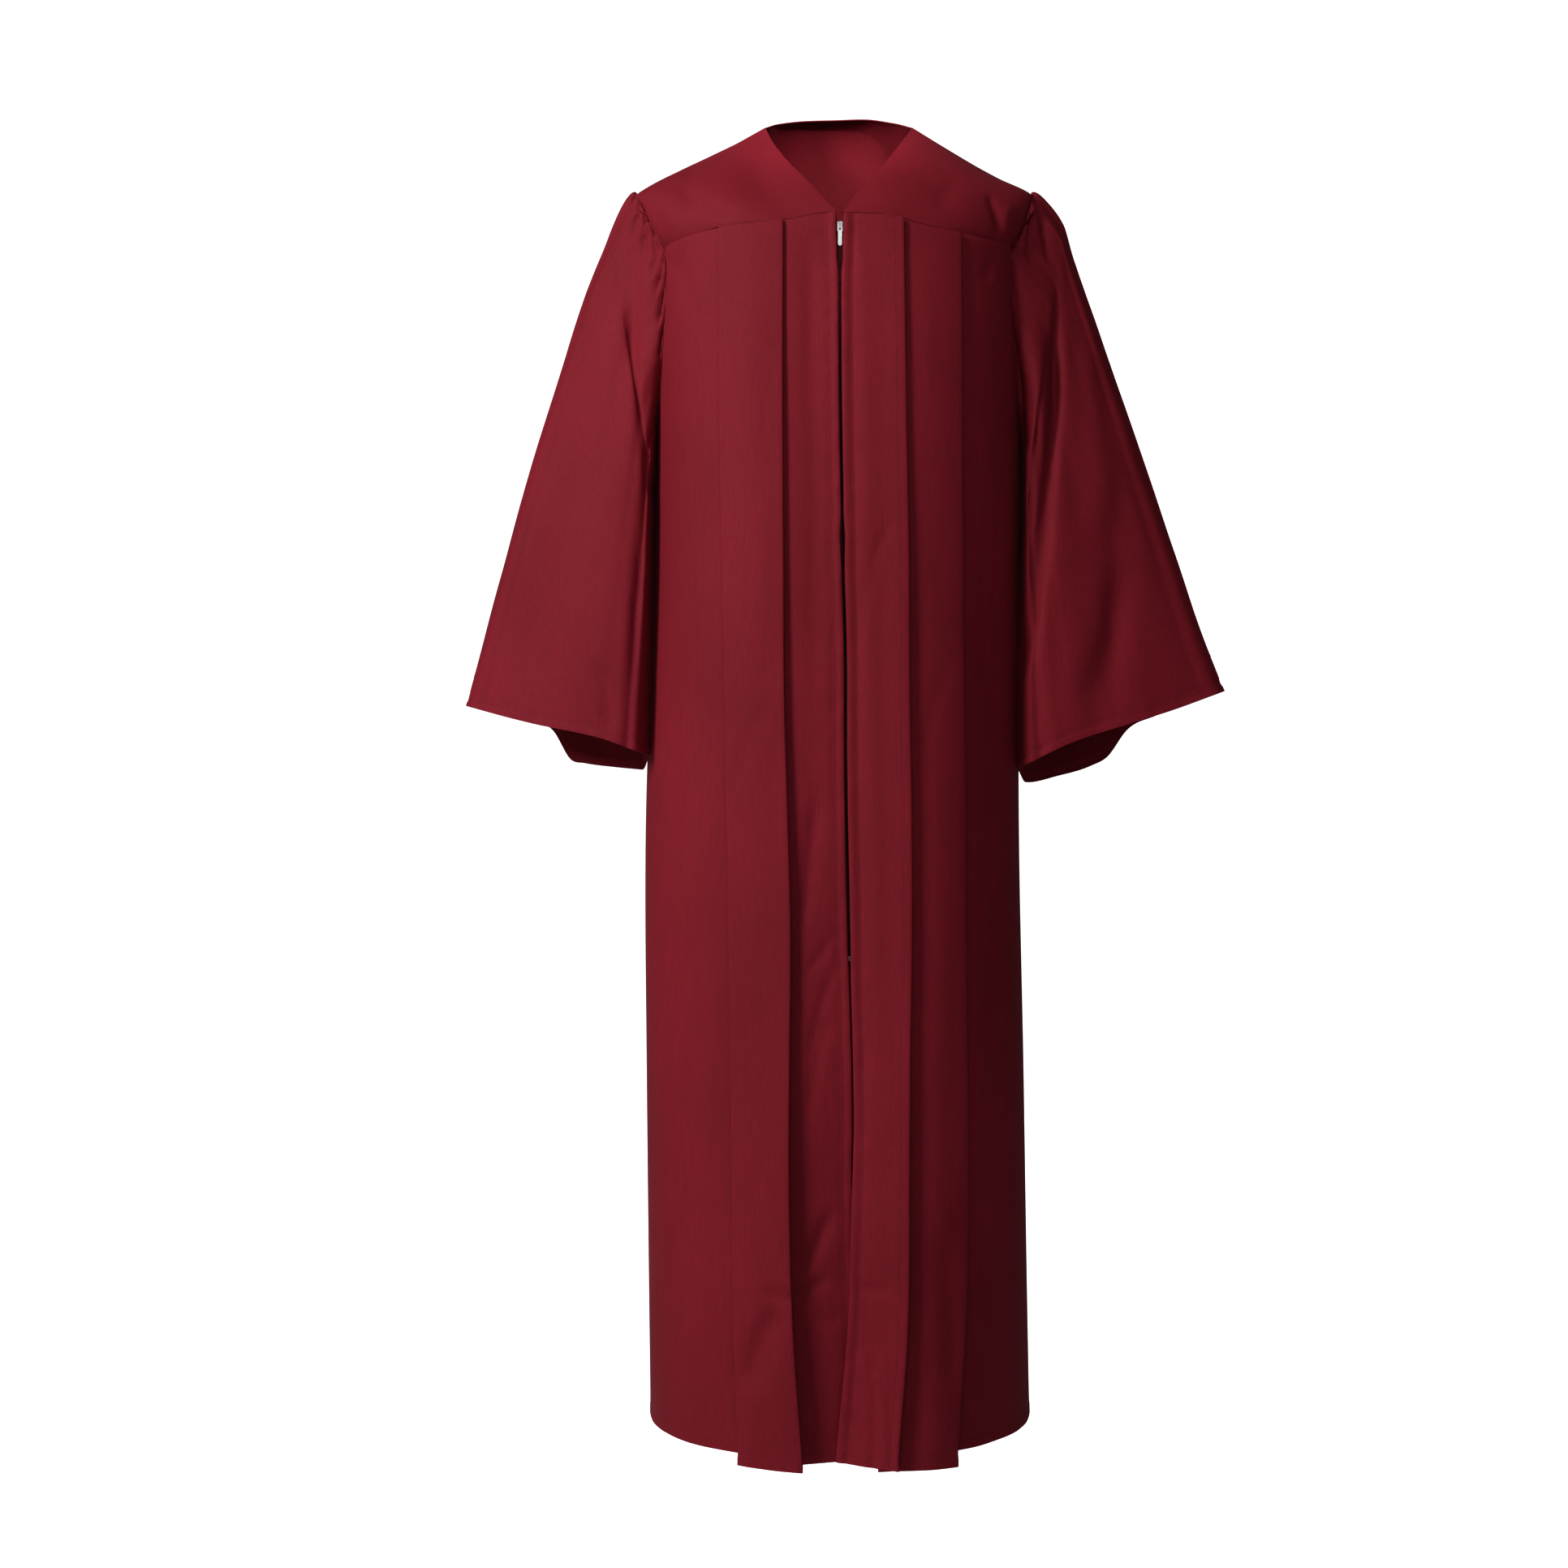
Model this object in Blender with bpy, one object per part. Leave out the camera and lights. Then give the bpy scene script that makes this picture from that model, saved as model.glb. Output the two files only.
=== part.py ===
"""Choir robe with a V neck, a yoke, pleated fronts, gathered sleeves and a zip to below the waist.

Metres. +X is the wearer's left, +Y is behind, +Z is up. The origin lies midway between the two
points where the neck edge meets the shoulders, which is where the wearer holds the robe up.
"""
import math

import bpy
import bmesh
import numpy as np
from mathutils import Matrix

# Driving sizes
NECK_SHARE = 0.385        # share of the back yoke's upper edge that is the neck
CLOTH = 0.0013            # thickness of the cloth wall with its seam allowances
TAPE = 0.0010             # thickness of the zip tape
SEAM_GAP = 0.0004         # what separates two pieces along a seam
SEAM_SLOPE = 0.0006       # more of it where two walls meet at a slope
FOLD_RADIUS = 0.0011      # a pleat turns round this radius
ROW_CROWDING = 1.6        # exponents that bring rows closer together near the yoke and the armhole
RING_CROWDING = 1.35
ROUNDNESS = 2.5           # exponent of the body's cross-section, 2 is an ellipse
UNDERLAP = 0.020          # cloth hidden under each pleat's edge
FACING = 0.010            # what the middle edges turn back
TOP_OF_FRONTS = -0.135    # nominal height of the yoke seam
HEM = -1.360              # nominal height of the hem
UNDERARM = -0.340
SHOULDER_POINT = -0.0715
ARMHOLE_HALF_DEPTH = 0.060
ZIP_TOP = -0.127
ZIP_BOTTOM = -0.872
SLIDER_HEIGHT = -0.1335
TAB_LENGTH = 0.0205

# The hollow body by height: its half width on the wearer's right and left, its front and back depth
BODY = {
    "height": (-0.070, -0.120, -0.150, -0.250, -0.340, -0.500, -0.730, -1.000, -1.200, -1.370),
    "right": (0.1900, 0.1910, 0.1915, 0.1925, 0.1920, 0.1960, 0.2040, 0.2030, 0.2008, 0.1985),
    "left": (0.1860, 0.1870, 0.1875, 0.1890, 0.1895, 0.1885, 0.1880, 0.1930, 0.1960, 0.1990),
    "front": (0.1050, 0.1165, 0.1200, 0.1340, 0.1380, 0.1420, 0.1500, 0.1600, 0.1680, 0.1740),
    "back": (0.0950, 0.1050, 0.1100, 0.1220, 0.1270, 0.1330, 0.1420, 0.1540, 0.1630, 0.1700),
}

# The armhole seam above the yoke's corner, by height
ARMHOLE = {
    "height": (-0.138, -0.125, -0.108, -0.0905, -0.0715),
    "right": (0.1810, 0.1903, 0.1992, 0.2065, 0.2160),
    "left": (0.1772, 0.1850, 0.1925, 0.1985, 0.2030),
}

# The yoke's front seam: its height at each x
YOKE_SEAM = {
    "x": (-0.183, -0.173, -0.129, -0.054, -0.0074, 0.0057, 0.048, 0.096, 0.125, 0.161, 0.179),
    "height": (-0.1382, -0.1366, -0.1306, -0.1256, -0.1190, -0.1195, -0.1224, -0.1325, -0.1358,
               -0.1376, -0.1382),
}

# How far forward of the body the yoke's front seam stands, by distance from the middle
YOKE_FORWARD = {
    "x": (0.000, 0.050, 0.068, 0.115, 0.138, 0.190),
    "right": (0.0040, 0.0016, 0.0038, 0.0040, 0.0004, 0.0000),
    "left": (0.0050, 0.0080, 0.0066, 0.0040, 0.0004, 0.0000),
}

# Neck edge of the yoke, from the shoulder down to the point of the V
NECK_RIGHT = {
    "x": (-0.0790, -0.0668, -0.0519, -0.0348, -0.0189, -0.0074, -0.0028),
    "y": (0.0000, -0.0420, -0.0660, -0.0870, -0.1040, -0.1130, -0.1160),
    "z": (0.0000, -0.0315, -0.0552, -0.0775, -0.0986, -0.1124, -0.1178),
}
NECK_LEFT = {
    "x": (0.0765, 0.0618, 0.0417, 0.0273, 0.0132, 0.0057, 0.0028),
    "y": (0.0000, -0.0370, -0.0700, -0.0900, -0.1040, -0.1125, -0.1160),
    "z": (0.0000, -0.0286, -0.0613, -0.0816, -0.1002, -0.1140, -0.1182),
}
NECK_BACK = {
    "x": (-0.0790, -0.0654, -0.0439, -0.0044, 0.0308, 0.0568, 0.0765),
    "y": (0.0000, 0.0350, 0.0520, 0.0600, 0.0560, 0.0400, 0.0000),
    "z": (0.0000, 0.0143, 0.0219, 0.0256, 0.0251, 0.0167, 0.0000),
}
SHOULDER_RIGHT = {
    "x": (-0.0790, -0.0946, -0.1058, -0.1333, -0.1763, -0.2160),
    "z": (0.0000, -0.0087, -0.0150, -0.0285, -0.0491, -0.0715),
}
SHOULDER_LEFT = {
    "x": (0.0765, 0.0989, 0.1180, 0.1419, 0.1720, 0.2030),
    "z": (0.0000, -0.0139, -0.0255, -0.0397, -0.0560, -0.0715),
}

# The pleats' edges, by height, and the line of the zip with half its opening
PLEATS = {
    "height": (-0.140, -0.316, -0.480, -0.609, -0.722, -0.842, -0.962, -1.080, -1.228, -1.352),
    "first_right": (-0.1234, -0.1217, -0.1182, -0.1152, -0.1128, -0.1105, -0.1084, -0.1068,
                    -0.1045, -0.0999),
    "second_right": (-0.0573, -0.0572, -0.0562, -0.0553, -0.0520, -0.0487, -0.0495, -0.0500,
                     -0.0459, -0.0370),
    "second_left": (0.0645, 0.0662, 0.0689, 0.0694, 0.0710, 0.0713, 0.0694, 0.0684, 0.0664, 0.0570),
    "first_left": (0.1234, 0.1233, 0.1240, 0.1247, 0.1259, 0.1262, 0.1266, 0.1277, 0.1245, 0.1160),
}
MIDDLE = {
    "height": (-0.118, -0.316, -0.420, -0.480, -0.560, -0.666, -0.722, -0.800, -0.880, -0.962,
               -1.041, -1.080, -1.120, -1.228, -1.300, -1.349, -1.370),
    "right_edge": (0.0000, 0.0008, 0.0025, 0.0033, 0.0055, 0.0058, 0.0065, 0.0081, 0.0097, 0.0120,
                   0.0129, 0.0124, 0.0130, 0.0160, 0.0172, 0.0178, 0.0180),
    "left_edge": (0.0000, 0.0008, 0.0025, 0.0033, 0.0055, 0.0058, 0.0065, 0.0081, 0.0097, 0.0120,
                  0.0129, 0.0118, 0.0104, 0.0072, 0.0008, -0.0040, -0.0055),
}
ZIP_OPENING = {
    "height": (-0.118, -0.141, -0.150, -0.168, -0.182, -0.400, -0.425, -0.450, -0.480, -0.860,
               -0.885, -1.370),
    "half": (0.0040, 0.0040, 0.0034, 0.0034, 0.0018, 0.0018, 0.0015, 0.0028, 0.0018, 0.0018,
             0.0011, 0.0010),
}

# Where each front turns, from its side to its middle: the pleat's edge it turns at, how far past
# that edge, how far forward of the body before the turn and after it, at the yoke and at the hem,
# the height of the hem there, and the columns in the run that leads to the turn
RIGHT_FRONT_TURNS = [
    {"edge": "first_right", "past": UNDERLAP, "top": (0.0000, 0.0022), "low": (0.0000, 0.0022),
     "hem": -1.3560, "columns": 2},
    {"edge": "first_right", "past": 0.0, "top": (0.0024, 0.0046), "low": (0.0150, 0.0172),
     "hem": -1.3630, "columns": 2},
    {"edge": "second_right", "past": 0.0, "top": (0.0050, 0.0028), "low": (0.0290, 0.0268),
     "hem": -1.3640, "columns": 5},
    {"edge": "second_right", "past": -UNDERLAP, "top": (0.0025, 0.0003), "low": (0.0205, 0.0183),
     "hem": -1.3610, "columns": 2},
]
LEFT_FRONT_TURNS = [
    {"edge": "first_left", "past": -UNDERLAP, "top": (0.0000, 0.0022), "low": (0.0000, 0.0022),
     "hem": -1.3560, "columns": 2},
    {"edge": "first_left", "past": 0.0, "top": (0.0024, 0.0046), "low": (0.0120, 0.0142),
     "hem": -1.3680, "columns": 2},
    {"edge": "second_left", "past": -UNDERLAP, "top": (0.0046, 0.0068), "low": (0.0175, 0.0197),
     "hem": -1.3660, "columns": 6},
    {"edge": "second_left", "past": 0.0, "top": (0.0070, 0.0092), "low": (0.0250, 0.0272),
     "hem": -1.3640, "columns": 2},
]
MIDDLE_FORWARD = {"top": 0.0030, "low": 0.0040}
MIDDLE_HEM = -1.3600
LIP = 0.0022              # how far the edges beside the zip stand up
LAP_DEPTH = {"height": (-0.99, -1.07, -1.37), "deeper": (0.0, 0.0046, 0.0080)}

# The back's soft flutes: how many, and how far they stand out at the yoke and at the hem
BACK_FLUTES = 9
BACK_FLUTE_TOP = 0.0020
BACK_FLUTE_HEM = 0.0100

# Sleeve edges in the front view, by share of the sleeve's length
SLEEVE_RIGHT = {
    "share": (0.000, 0.020, 0.042, 0.095, 0.210, 0.345, 0.540, 0.730, 0.905, 1.000),
    "x": (-0.2168, -0.2253, -0.2313, -0.2417, -0.2666, -0.2915, -0.3251, -0.3543, -0.3793, -0.3920),
    "z": (-0.0700, -0.0749, -0.0842, -0.1139, -0.1756, -0.2551, -0.3635, -0.4679, -0.5634, -0.6133),
}
SLEEVE_LEFT = {
    "share": (0.000, 0.025, 0.062, 0.160, 0.250, 0.350, 0.540, 0.725, 0.915, 1.000),
    "x": (0.2040, 0.2167, 0.2288, 0.2468, 0.2623, 0.2795, 0.3139, 0.3483, 0.3827, 0.4033),
    "z": (-0.0720, -0.0767, -0.0921, -0.1437, -0.1893, -0.2400, -0.3398, -0.4404, -0.5436, -0.5978),
}
SLEEVE_FORM = {
    "share": (0.00, 0.08, 0.30, 0.60, 1.00),
    "inner_y": (0.000, -0.006, -0.024, -0.040, -0.050),
    "outer_y": (0.000, -0.002, -0.008, -0.014, -0.020),
    "front": (0.060, 0.058, 0.048, 0.042, 0.038),
    "back": (0.060, 0.064, 0.064, 0.060, 0.054),
}

# A sleeve's front and back walls across it, from its outer edge to its inner one, as shares of
# their depth: the front is nearly flat and turns in close to the body
SLEEVE_ACROSS = {
    "across": (0.00, 0.03, 0.12, 0.45, 0.74, 0.90, 0.97, 1.00),
    "front": (0.00, 0.20, 0.38, 0.78, 1.00, 0.86, 0.50, 0.00),
    "back": (0.00, 0.26, 0.56, 0.96, 1.00, 0.74, 0.38, 0.00),
}
CUFF_INNER = {"right": -0.663, "left": -0.677}
SLEEVE_CLEARANCE = {"right": 0.0045, "left": 0.0050}
# How much lower a cuff hangs than a straight line across it, in front and behind
CUFF_DROP = {
    "right": {
        "across": (0.00, 0.30, 0.44, 0.54, 0.62, 0.78, 0.94, 1.00),
        "front": (0.0000, 0.0000, -0.0010, -0.0025, -0.0035, -0.0040, -0.0010, 0.0000),
        "back": (0.0000, 0.0000, 0.0020, 0.0290, 0.0290, 0.0235, 0.0180, 0.0160),
    },
    "left": {
        "across": (0.00, 0.30, 0.44, 0.54, 0.62, 0.78, 0.94, 1.00),
        "front": (0.0000, -0.0010, -0.0030, -0.0045, -0.0060, -0.0065, -0.0020, 0.0000),
        "back": (0.0000, 0.0000, 0.0040, 0.0260, 0.0290, 0.0255, 0.0190, 0.0120),
    },
}
HEAD_CROWDING = 0.10      # brings points closer together at a sleeve's outer edge
SLEEVE_GROWS = 0.10       # share of the sleeve over which it leaves the armhole's shape
GATHERS = 10              # waves round each armhole, deepest at the head of the sleeve
GATHER_HEIGHT = 0.0048
GATHER_REACH = 0.16       # share of the sleeve over which they fade

# Long soft troughs down each sleeve: degrees forward of its outer edge at shares of its length,
# depth, and half width in degrees; they fade over their first and last parts
SLEEVE_FOLDS = {
    "right": [
        {"share": (0.03, 0.08, 0.12, 0.24), "angle": (20, 80, 130, 176), "depth": 0.0045, "spread": 22},
        {"share": (0.45, 0.75, 1.20), "angle": (142, 146, 150), "depth": 0.0035, "spread": 14},
        {"share": (0.30, 0.60, 1.20), "angle": (60, 72, 80), "depth": 0.0020, "spread": 16},
        {"share": (0.02, 0.40, 0.95), "angle": (-48, -56, -62), "depth": 0.0050, "spread": 18},
        {"share": (0.02, 0.50, 1.20), "angle": (-95, -100, -105), "depth": 0.0035, "spread": 16},
    ],
    "left": [
        {"share": (0.03, 0.08, 0.17, 0.29, 0.39, 0.58, 0.78), "angle": (44, 56, 82, 107, 126, 147, 166),
         "depth": 0.0078, "spread": 13},
        {"share": (0.50, 0.66, 0.83, 1.15), "angle": (52, 65, 86, 130), "depth": 0.0040, "spread": 14},
        {"share": (0.70, 1.00, 1.30), "angle": (132, 136, 138), "depth": 0.0020, "spread": 12},
        {"share": (0.02, 0.40, 0.95), "angle": (-48, -56, -62), "depth": 0.0050, "spread": 18},
        {"share": (0.02, 0.50, 1.20), "angle": (-95, -100, -105), "depth": 0.0035, "spread": 16},
    ],
}
FOLD_FADE = 0.22           # share of a fold's own length over which it fades

# Zip slider and pull tab, in their own frame: x across, y outward is negative, z along the zip
SLIDER = {
    "front plate": ((-0.0027, -0.0019, -0.0052), (0.0027, -0.0009, 0.0050)),
    "post": ((-0.0009, -0.0012, 0.0014), (0.0009, 0.0012, 0.0049)),
    "back plate": ((-0.0036, 0.0009, -0.0050), (0.0036, 0.0017, 0.0048)),
    "upper foot": ((-0.0007, -0.0038, 0.0020), (0.0007, -0.0016, 0.0030)),
    "lower foot": ((-0.0007, -0.0038, -0.0030), (0.0007, -0.0016, -0.0020)),
    "bridge": ((-0.0007, -0.0045, -0.0030), (0.0007, -0.0035, 0.0030)),
}
PIVOT_Y = -0.00265
TAB_THICKNESS = 0.0009
TAB_HALF_WIDTH = 0.0020
TAB_BAR = 0.00045         # half the height of the bar above its slot
TAB_SLOT = {"half width": 0.0012, "reach": 0.0044}


def curve(table, column, at):
    """The column's value at a height, x or share, on a smooth curve through the table's rows."""
    knots = np.array(next(iter(table.values())), float)
    values = np.array(table[column], float)
    if knots[0] > knots[-1]:
        knots, values = knots[::-1], values[::-1]
    slopes = np.gradient(values, knots)
    at = np.clip(np.asarray(at, float), knots[0], knots[-1])
    k = np.clip(np.searchsorted(knots, at, side="right") - 1, 0, len(knots) - 2)
    width = knots[k + 1] - knots[k]
    t = (at - knots[k]) / width
    rise = values[k + 1] - values[k]
    return (values[k] + t * width * slopes[k]
            + t * t * (3 * rise - width * (2 * slopes[k] + slopes[k + 1]))
            + t ** 3 * (width * (slopes[k] + slopes[k + 1]) - 2 * rise))


def along(table, share):
    """Points on the table's x, y, z rows, with share running evenly over the rows' distances."""
    names = [name for name in ("x", "y", "z") if name in table]
    points = np.array([table[name] for name in names], float).T
    steps = np.linalg.norm(np.diff(points, axis=0), axis=1)
    reach = np.concatenate([[0.0], np.cumsum(steps)]) / steps.sum()
    placed = {name: curve({"share": reach, name: points[:, k]}, name, share)
              for k, name in enumerate(names)}
    flat = np.zeros_like(np.asarray(share, float))
    return np.stack([placed.get(name, flat) for name in ("x", "y", "z")], axis=-1)


def smooth_step(value, low, high):
    """Rises softly from 0 at low to 1 at high."""
    share = np.clip((value - low) / (high - low), 0, 1)
    return share * share * (3 - 2 * share)


def unit(vectors):
    return vectors / np.maximum(np.linalg.norm(vectors, axis=-1, keepdims=True), 1e-12)


def sign_of(side):
    return -1.0 if side == "right" else 1.0


def body_point(side, y_share, z):
    """x where the body's cross-section lies y_share of its depth in front of its middle."""
    across = curve(BODY, side, z)
    return sign_of(side) * across * (1 - np.clip(y_share, 0, 1) ** ROUNDNESS) ** (1 / ROUNDNESS)


def depth_at(side, x, z, end="front"):
    """How far in front of or behind the middle the body's cross-section lies at x."""
    across = np.minimum(np.abs(x) / curve(BODY, side, z), 1.0)
    return curve(BODY, end, z) * (1 - across ** ROUNDNESS) ** (1 / ROUNDNESS)


def armhole_depth(z):
    """Half the armhole's depth at a height, nothing below the underarm."""
    middle = (UNDERARM + SHOULDER_POINT) / 2
    reach = (SHOULDER_POINT - UNDERARM) / 2
    return ARMHOLE_HALF_DEPTH * np.sqrt(np.clip(1 - ((z - middle) / reach) ** 2, 0, 1))


def armhole_x(side, z):
    """x of the armhole seam at a height: on the body, then out along the yoke to the shoulder."""
    corner = ARMHOLE["height"][0]
    on_body = body_point(side, armhole_depth(z) / curve(BODY, "front", z), z)
    on_yoke = sign_of(side) * curve(ARMHOLE, side, z)
    share = np.clip((z - corner + 0.010) / 0.010, 0, 1)
    return on_body + (on_yoke - on_body) * share


def side_angle(z, end):
    """Angle on the cross-section where a panel starts: at its armhole, or at the side seam."""
    y = np.maximum(armhole_depth(z), SEAM_GAP / 2)
    return np.arcsin(np.clip(y / curve(BODY, end, z), 0, 1) ** (ROUNDNESS / 2))


def forward(values, z):
    """A value given at the yoke and at the hem, for a height between them."""
    share = np.clip((TOP_OF_FRONTS - z) / (TOP_OF_FRONTS - HEM), 0, 1)
    return values[0] + (values[1] - values[0]) * share


def turn_edge(turn, z):
    """x of a turn, z being an array of heights."""
    return curve(PLEATS, turn["edge"], z) + turn["past"]


def middle_edge(side, z):
    """x of the front's middle edge."""
    return curve(MIDDLE, side + "_edge", z) + sign_of(side) * np.interp(
        -z, -np.array(ZIP_OPENING["height"]), ZIP_OPENING["half"])


def middle_forward(side, z):
    """How far forward of the body the middle edge stands; the lower right edge lies under."""
    stands = forward((MIDDLE_FORWARD["top"], MIDDLE_FORWARD["low"]), z)
    if side == "left":
        return stands
    return stands - np.interp(-z, -np.array(LAP_DEPTH["height"]), LAP_DEPTH["deeper"])


def half_turn(share, x, ahead, behind, facing):
    """A half circle from one layer to the next at a fold; facing is the side it bulges to."""
    swing = math.pi * share
    radius = np.abs(ahead - behind) / 2
    return (x - facing * radius * (1 - np.sin(swing)),
            (ahead + behind) / 2 + (ahead - behind) / 2 * np.cos(swing))


def front_blocks(side, fold_columns, finer):
    """The runs and turns of a front from its side to its middle.

    Each is a count of columns, a height for the hem, and a function of (share, z) that gives x and
    how far forward of the body that is.
    """
    sign = sign_of(side)
    turns = RIGHT_FRONT_TURNS if side == "right" else LEFT_FRONT_TURNS
    blocks = []

    def outer(share, z):
        start = side_angle(z, "front")
        across = np.abs(curve(PLEATS, turns[0]["edge"], z)) / curve(BODY, side, z)
        stop = np.arccos(np.clip(across, 0, 1) ** (ROUNDNESS / 2))
        angle = start + (stop - start) * share
        x = sign * curve(BODY, side, z) * np.cos(angle) ** (2 / ROUNDNESS)
        return x, np.zeros_like(x)

    blocks.append((9 * finer, (-1.3510, -1.3560), outer))
    last_x = lambda z: curve(PLEATS, turns[0]["edge"], z)
    last_forward = np.zeros_like
    last_hem = turns[0]["hem"]
    for number, turn in enumerate(turns):
        arrive = lambda z, turn=turn: forward((turn["top"][0], turn["low"][0]), z)
        leave = lambda z, turn=turn: forward((turn["top"][1], turn["low"][1]), z)
        edge = lambda z, turn=turn: turn_edge(turn, z)
        facing = -sign if number % 2 == 0 else sign

        def run(share, z, x0=last_x, f0=last_forward, x1=edge, f1=arrive, facing=facing):
            stop = x1(z) - facing * FOLD_RADIUS
            start = x0(z)
            return start + (stop - start) * share, f0(z) + (f1(z) - f0(z)) * share

        def fold(share, z, x=edge, f0=arrive, f1=leave, facing=facing):
            return half_turn(share, x(z), f0(z), f1(z), facing)

        blocks.append((turn["columns"] * finer, (last_hem, turn["hem"]), run))
        blocks.append((fold_columns, (turn["hem"], turn["hem"]), fold))
        last_x = lambda z, edge=edge, facing=facing: edge(z) - facing * FOLD_RADIUS
        last_forward = leave
        last_hem = turn["hem"]

    def face(share, z, x0=last_x, f0=last_forward):
        stop = middle_edge(side, z) + sign * FOLD_RADIUS
        x = x0(z) + (stop - x0(z)) * share
        lip = LIP * np.clip(1 - np.abs(x - stop) / FACING, 0, 1) ** 2
        base = f0(z) + (middle_forward(side, z) - f0(z)) * share
        return x, base + lip

    def middle_turn(share, z):
        stands = middle_forward(side, z) + LIP
        return half_turn(share, middle_edge(side, z), stands, stands - 2 * FOLD_RADIUS, -sign)

    def turned_back(share, z):
        x = middle_edge(side, z) + sign * (FOLD_RADIUS + FACING * share)
        lip = LIP * np.clip(1 - share, 0, 1) ** 2
        return x, middle_forward(side, z) + lip - 2 * FOLD_RADIUS

    blocks.append((7 * finer, (last_hem, MIDDLE_HEM), face))
    blocks.append((fold_columns, (MIDDLE_HEM, MIDDLE_HEM), middle_turn))
    blocks.append((2 * finer, (MIDDLE_HEM, MIDDLE_HEM), turned_back))
    return blocks


def row_shares(rows):
    """Shares of a panel's length at its rows, closer together near the yoke."""
    return np.linspace(0, 1, rows + 1) ** ROW_CROWDING


def front_grid(side, rows, fold_columns=4, finer=1):
    """Middle surface of a front as columns by rows of points."""
    blocks = front_blocks(side, fold_columns, finer)
    shares = []
    for number, (count, _, _) in enumerate(blocks):
        first = 0 if number == 0 else 1
        shares.append((np.arange(first, count + 1) / count)[:, None])
    at_top = [place(share, np.full_like(share, TOP_OF_FRONTS))[0]
              for share, (_, _, place) in zip(shares, blocks)]
    down = row_shares(rows)[None, :]
    columns = []
    for share, top_x, (_, hems, place) in zip(shares, at_top, blocks):
        top = curve(YOKE_SEAM, "height", top_x)
        hem = hems[0] + (hems[1] - hems[0]) * share
        z = top + (hem - top) * down
        x, ahead = place(share + np.zeros_like(z), z)
        y = -depth_at(side, x, z) - ahead
        y = np.minimum(y, -SEAM_GAP / 2)
        columns.append(np.stack([x, y, z], axis=-1))
    return np.concatenate(columns)


def wall(name, grid, thickness, material, closed=False):
    """A closed wall on both sides of a grid of points, columns by rows; closed joins its ends."""
    def tangents(points, axis, wraps):
        points = np.moveaxis(points, axis, 0)
        if wraps:
            ahead = unit(np.roll(points, -1, axis=0) - points)
            behind = np.roll(ahead, 1, axis=0)
        else:
            steps = unit(np.diff(points, axis=0))
            ahead = np.concatenate([steps, steps[-1:]])
            behind = np.concatenate([steps[:1], steps])
        total = ahead + behind
        return np.moveaxis(unit(total), 0, axis), np.moveaxis(np.linalg.norm(total, axis=-1) / 2, 0, axis)

    across, bend_across = tangents(grid, 0, closed)
    down, bend_down = tangents(grid, 1, False)
    normal = unit(np.cross(across, down))
    offset = normal * (thickness / 2 / np.clip(bend_across * bend_down, 0.7, 1))[..., None]
    columns, rows = grid.shape[:2]
    mesh = bpy.data.meshes.new(name)
    shell = bmesh.new()
    sides = [[[shell.verts.new(point) for point in column] for column in (grid + way * offset)]
             for way in (1, -1)]
    spans = columns if closed else columns - 1
    for way, side in enumerate(sides):
        for c in range(spans):
            for r in range(rows - 1):
                n = (c + 1) % columns
                corners = [side[c][r], side[n][r], side[n][r + 1], side[c][r + 1]]
                shell.faces.new(corners if way == 0 else corners[::-1])
    outer, inner = sides
    for c in range(spans):
        n = (c + 1) % columns
        shell.faces.new([outer[n][0], outer[c][0], inner[c][0], inner[n][0]])
        shell.faces.new([outer[c][-1], outer[n][-1], inner[n][-1], inner[c][-1]])
    if not closed:
        for r in range(rows - 1):
            shell.faces.new([outer[0][r], outer[0][r + 1], inner[0][r + 1], inner[0][r]])
            shell.faces.new([outer[-1][r + 1], outer[-1][r], inner[-1][r], inner[-1][r + 1]])
    bmesh.ops.triangulate(shell, faces=shell.faces[:])
    bmesh.ops.recalc_face_normals(shell, faces=shell.faces[:])
    shell.to_mesh(mesh)
    shell.free()
    mesh.shade_smooth()
    return add_object(name, mesh, material)


def add_object(name, mesh, material):
    piece = bpy.data.objects.new(name, mesh)
    bpy.context.scene.collection.objects.link(piece)
    mesh.materials.append(material)
    return piece


def make_material(name, color, roughness, metallic=0.0):
    material = bpy.data.materials.new(name)
    material.use_nodes = True
    shader = material.node_tree.nodes["Principled BSDF"]
    shader.inputs["Base Color"].default_value = (*color, 1.0)
    shader.inputs["Roughness"].default_value = roughness
    shader.inputs["Metallic"].default_value = metallic
    return material


def box_mesh(low, high):
    """A closed box between two corners, as a new bmesh."""
    shape = bmesh.new()
    size = [high[k] - low[k] for k in range(3)]
    middle = [(high[k] + low[k]) / 2 for k in range(3)]
    place = Matrix.Translation(middle) @ Matrix.Diagonal((*size, 1.0))
    bmesh.ops.create_cube(shape, size=1.0, matrix=place)
    return shape


def seam_point(side, x):
    """A point of the yoke's front seam, on the outer faces of the fronts below."""
    z = curve(YOKE_SEAM, "height", x)
    ahead = curve(YOKE_FORWARD, side, np.abs(x))
    return np.stack([x, -depth_at(side, x, z) - ahead, z], axis=-1)


def armhole_point(side, z, end):
    """A point of the armhole seam, in front or behind."""
    way = -1.0 if end == "front" else 1.0
    return np.stack([armhole_x(side, z), way * armhole_depth(z), z], axis=-1)


def patch(first, last, top, low):
    """A four-sided surface from its edges, round like a shoulder from its top edge to its low one.

    first and last are points down its two sides; top and low are points across.
    """
    u = np.linspace(0, 1, len(top))[:, None, None]
    v = np.linspace(0, 1, len(first))
    round_over = np.stack([v, np.sin(math.pi / 2 * v), 1 - np.cos(math.pi / 2 * v)], axis=-1)[None]
    rounded = top[:, None] + (low - top)[:, None] * round_over
    return rounded + (1 - u) * (first[None] - rounded[:1]) + u * (last[None] - rounded[-1:])


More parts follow.
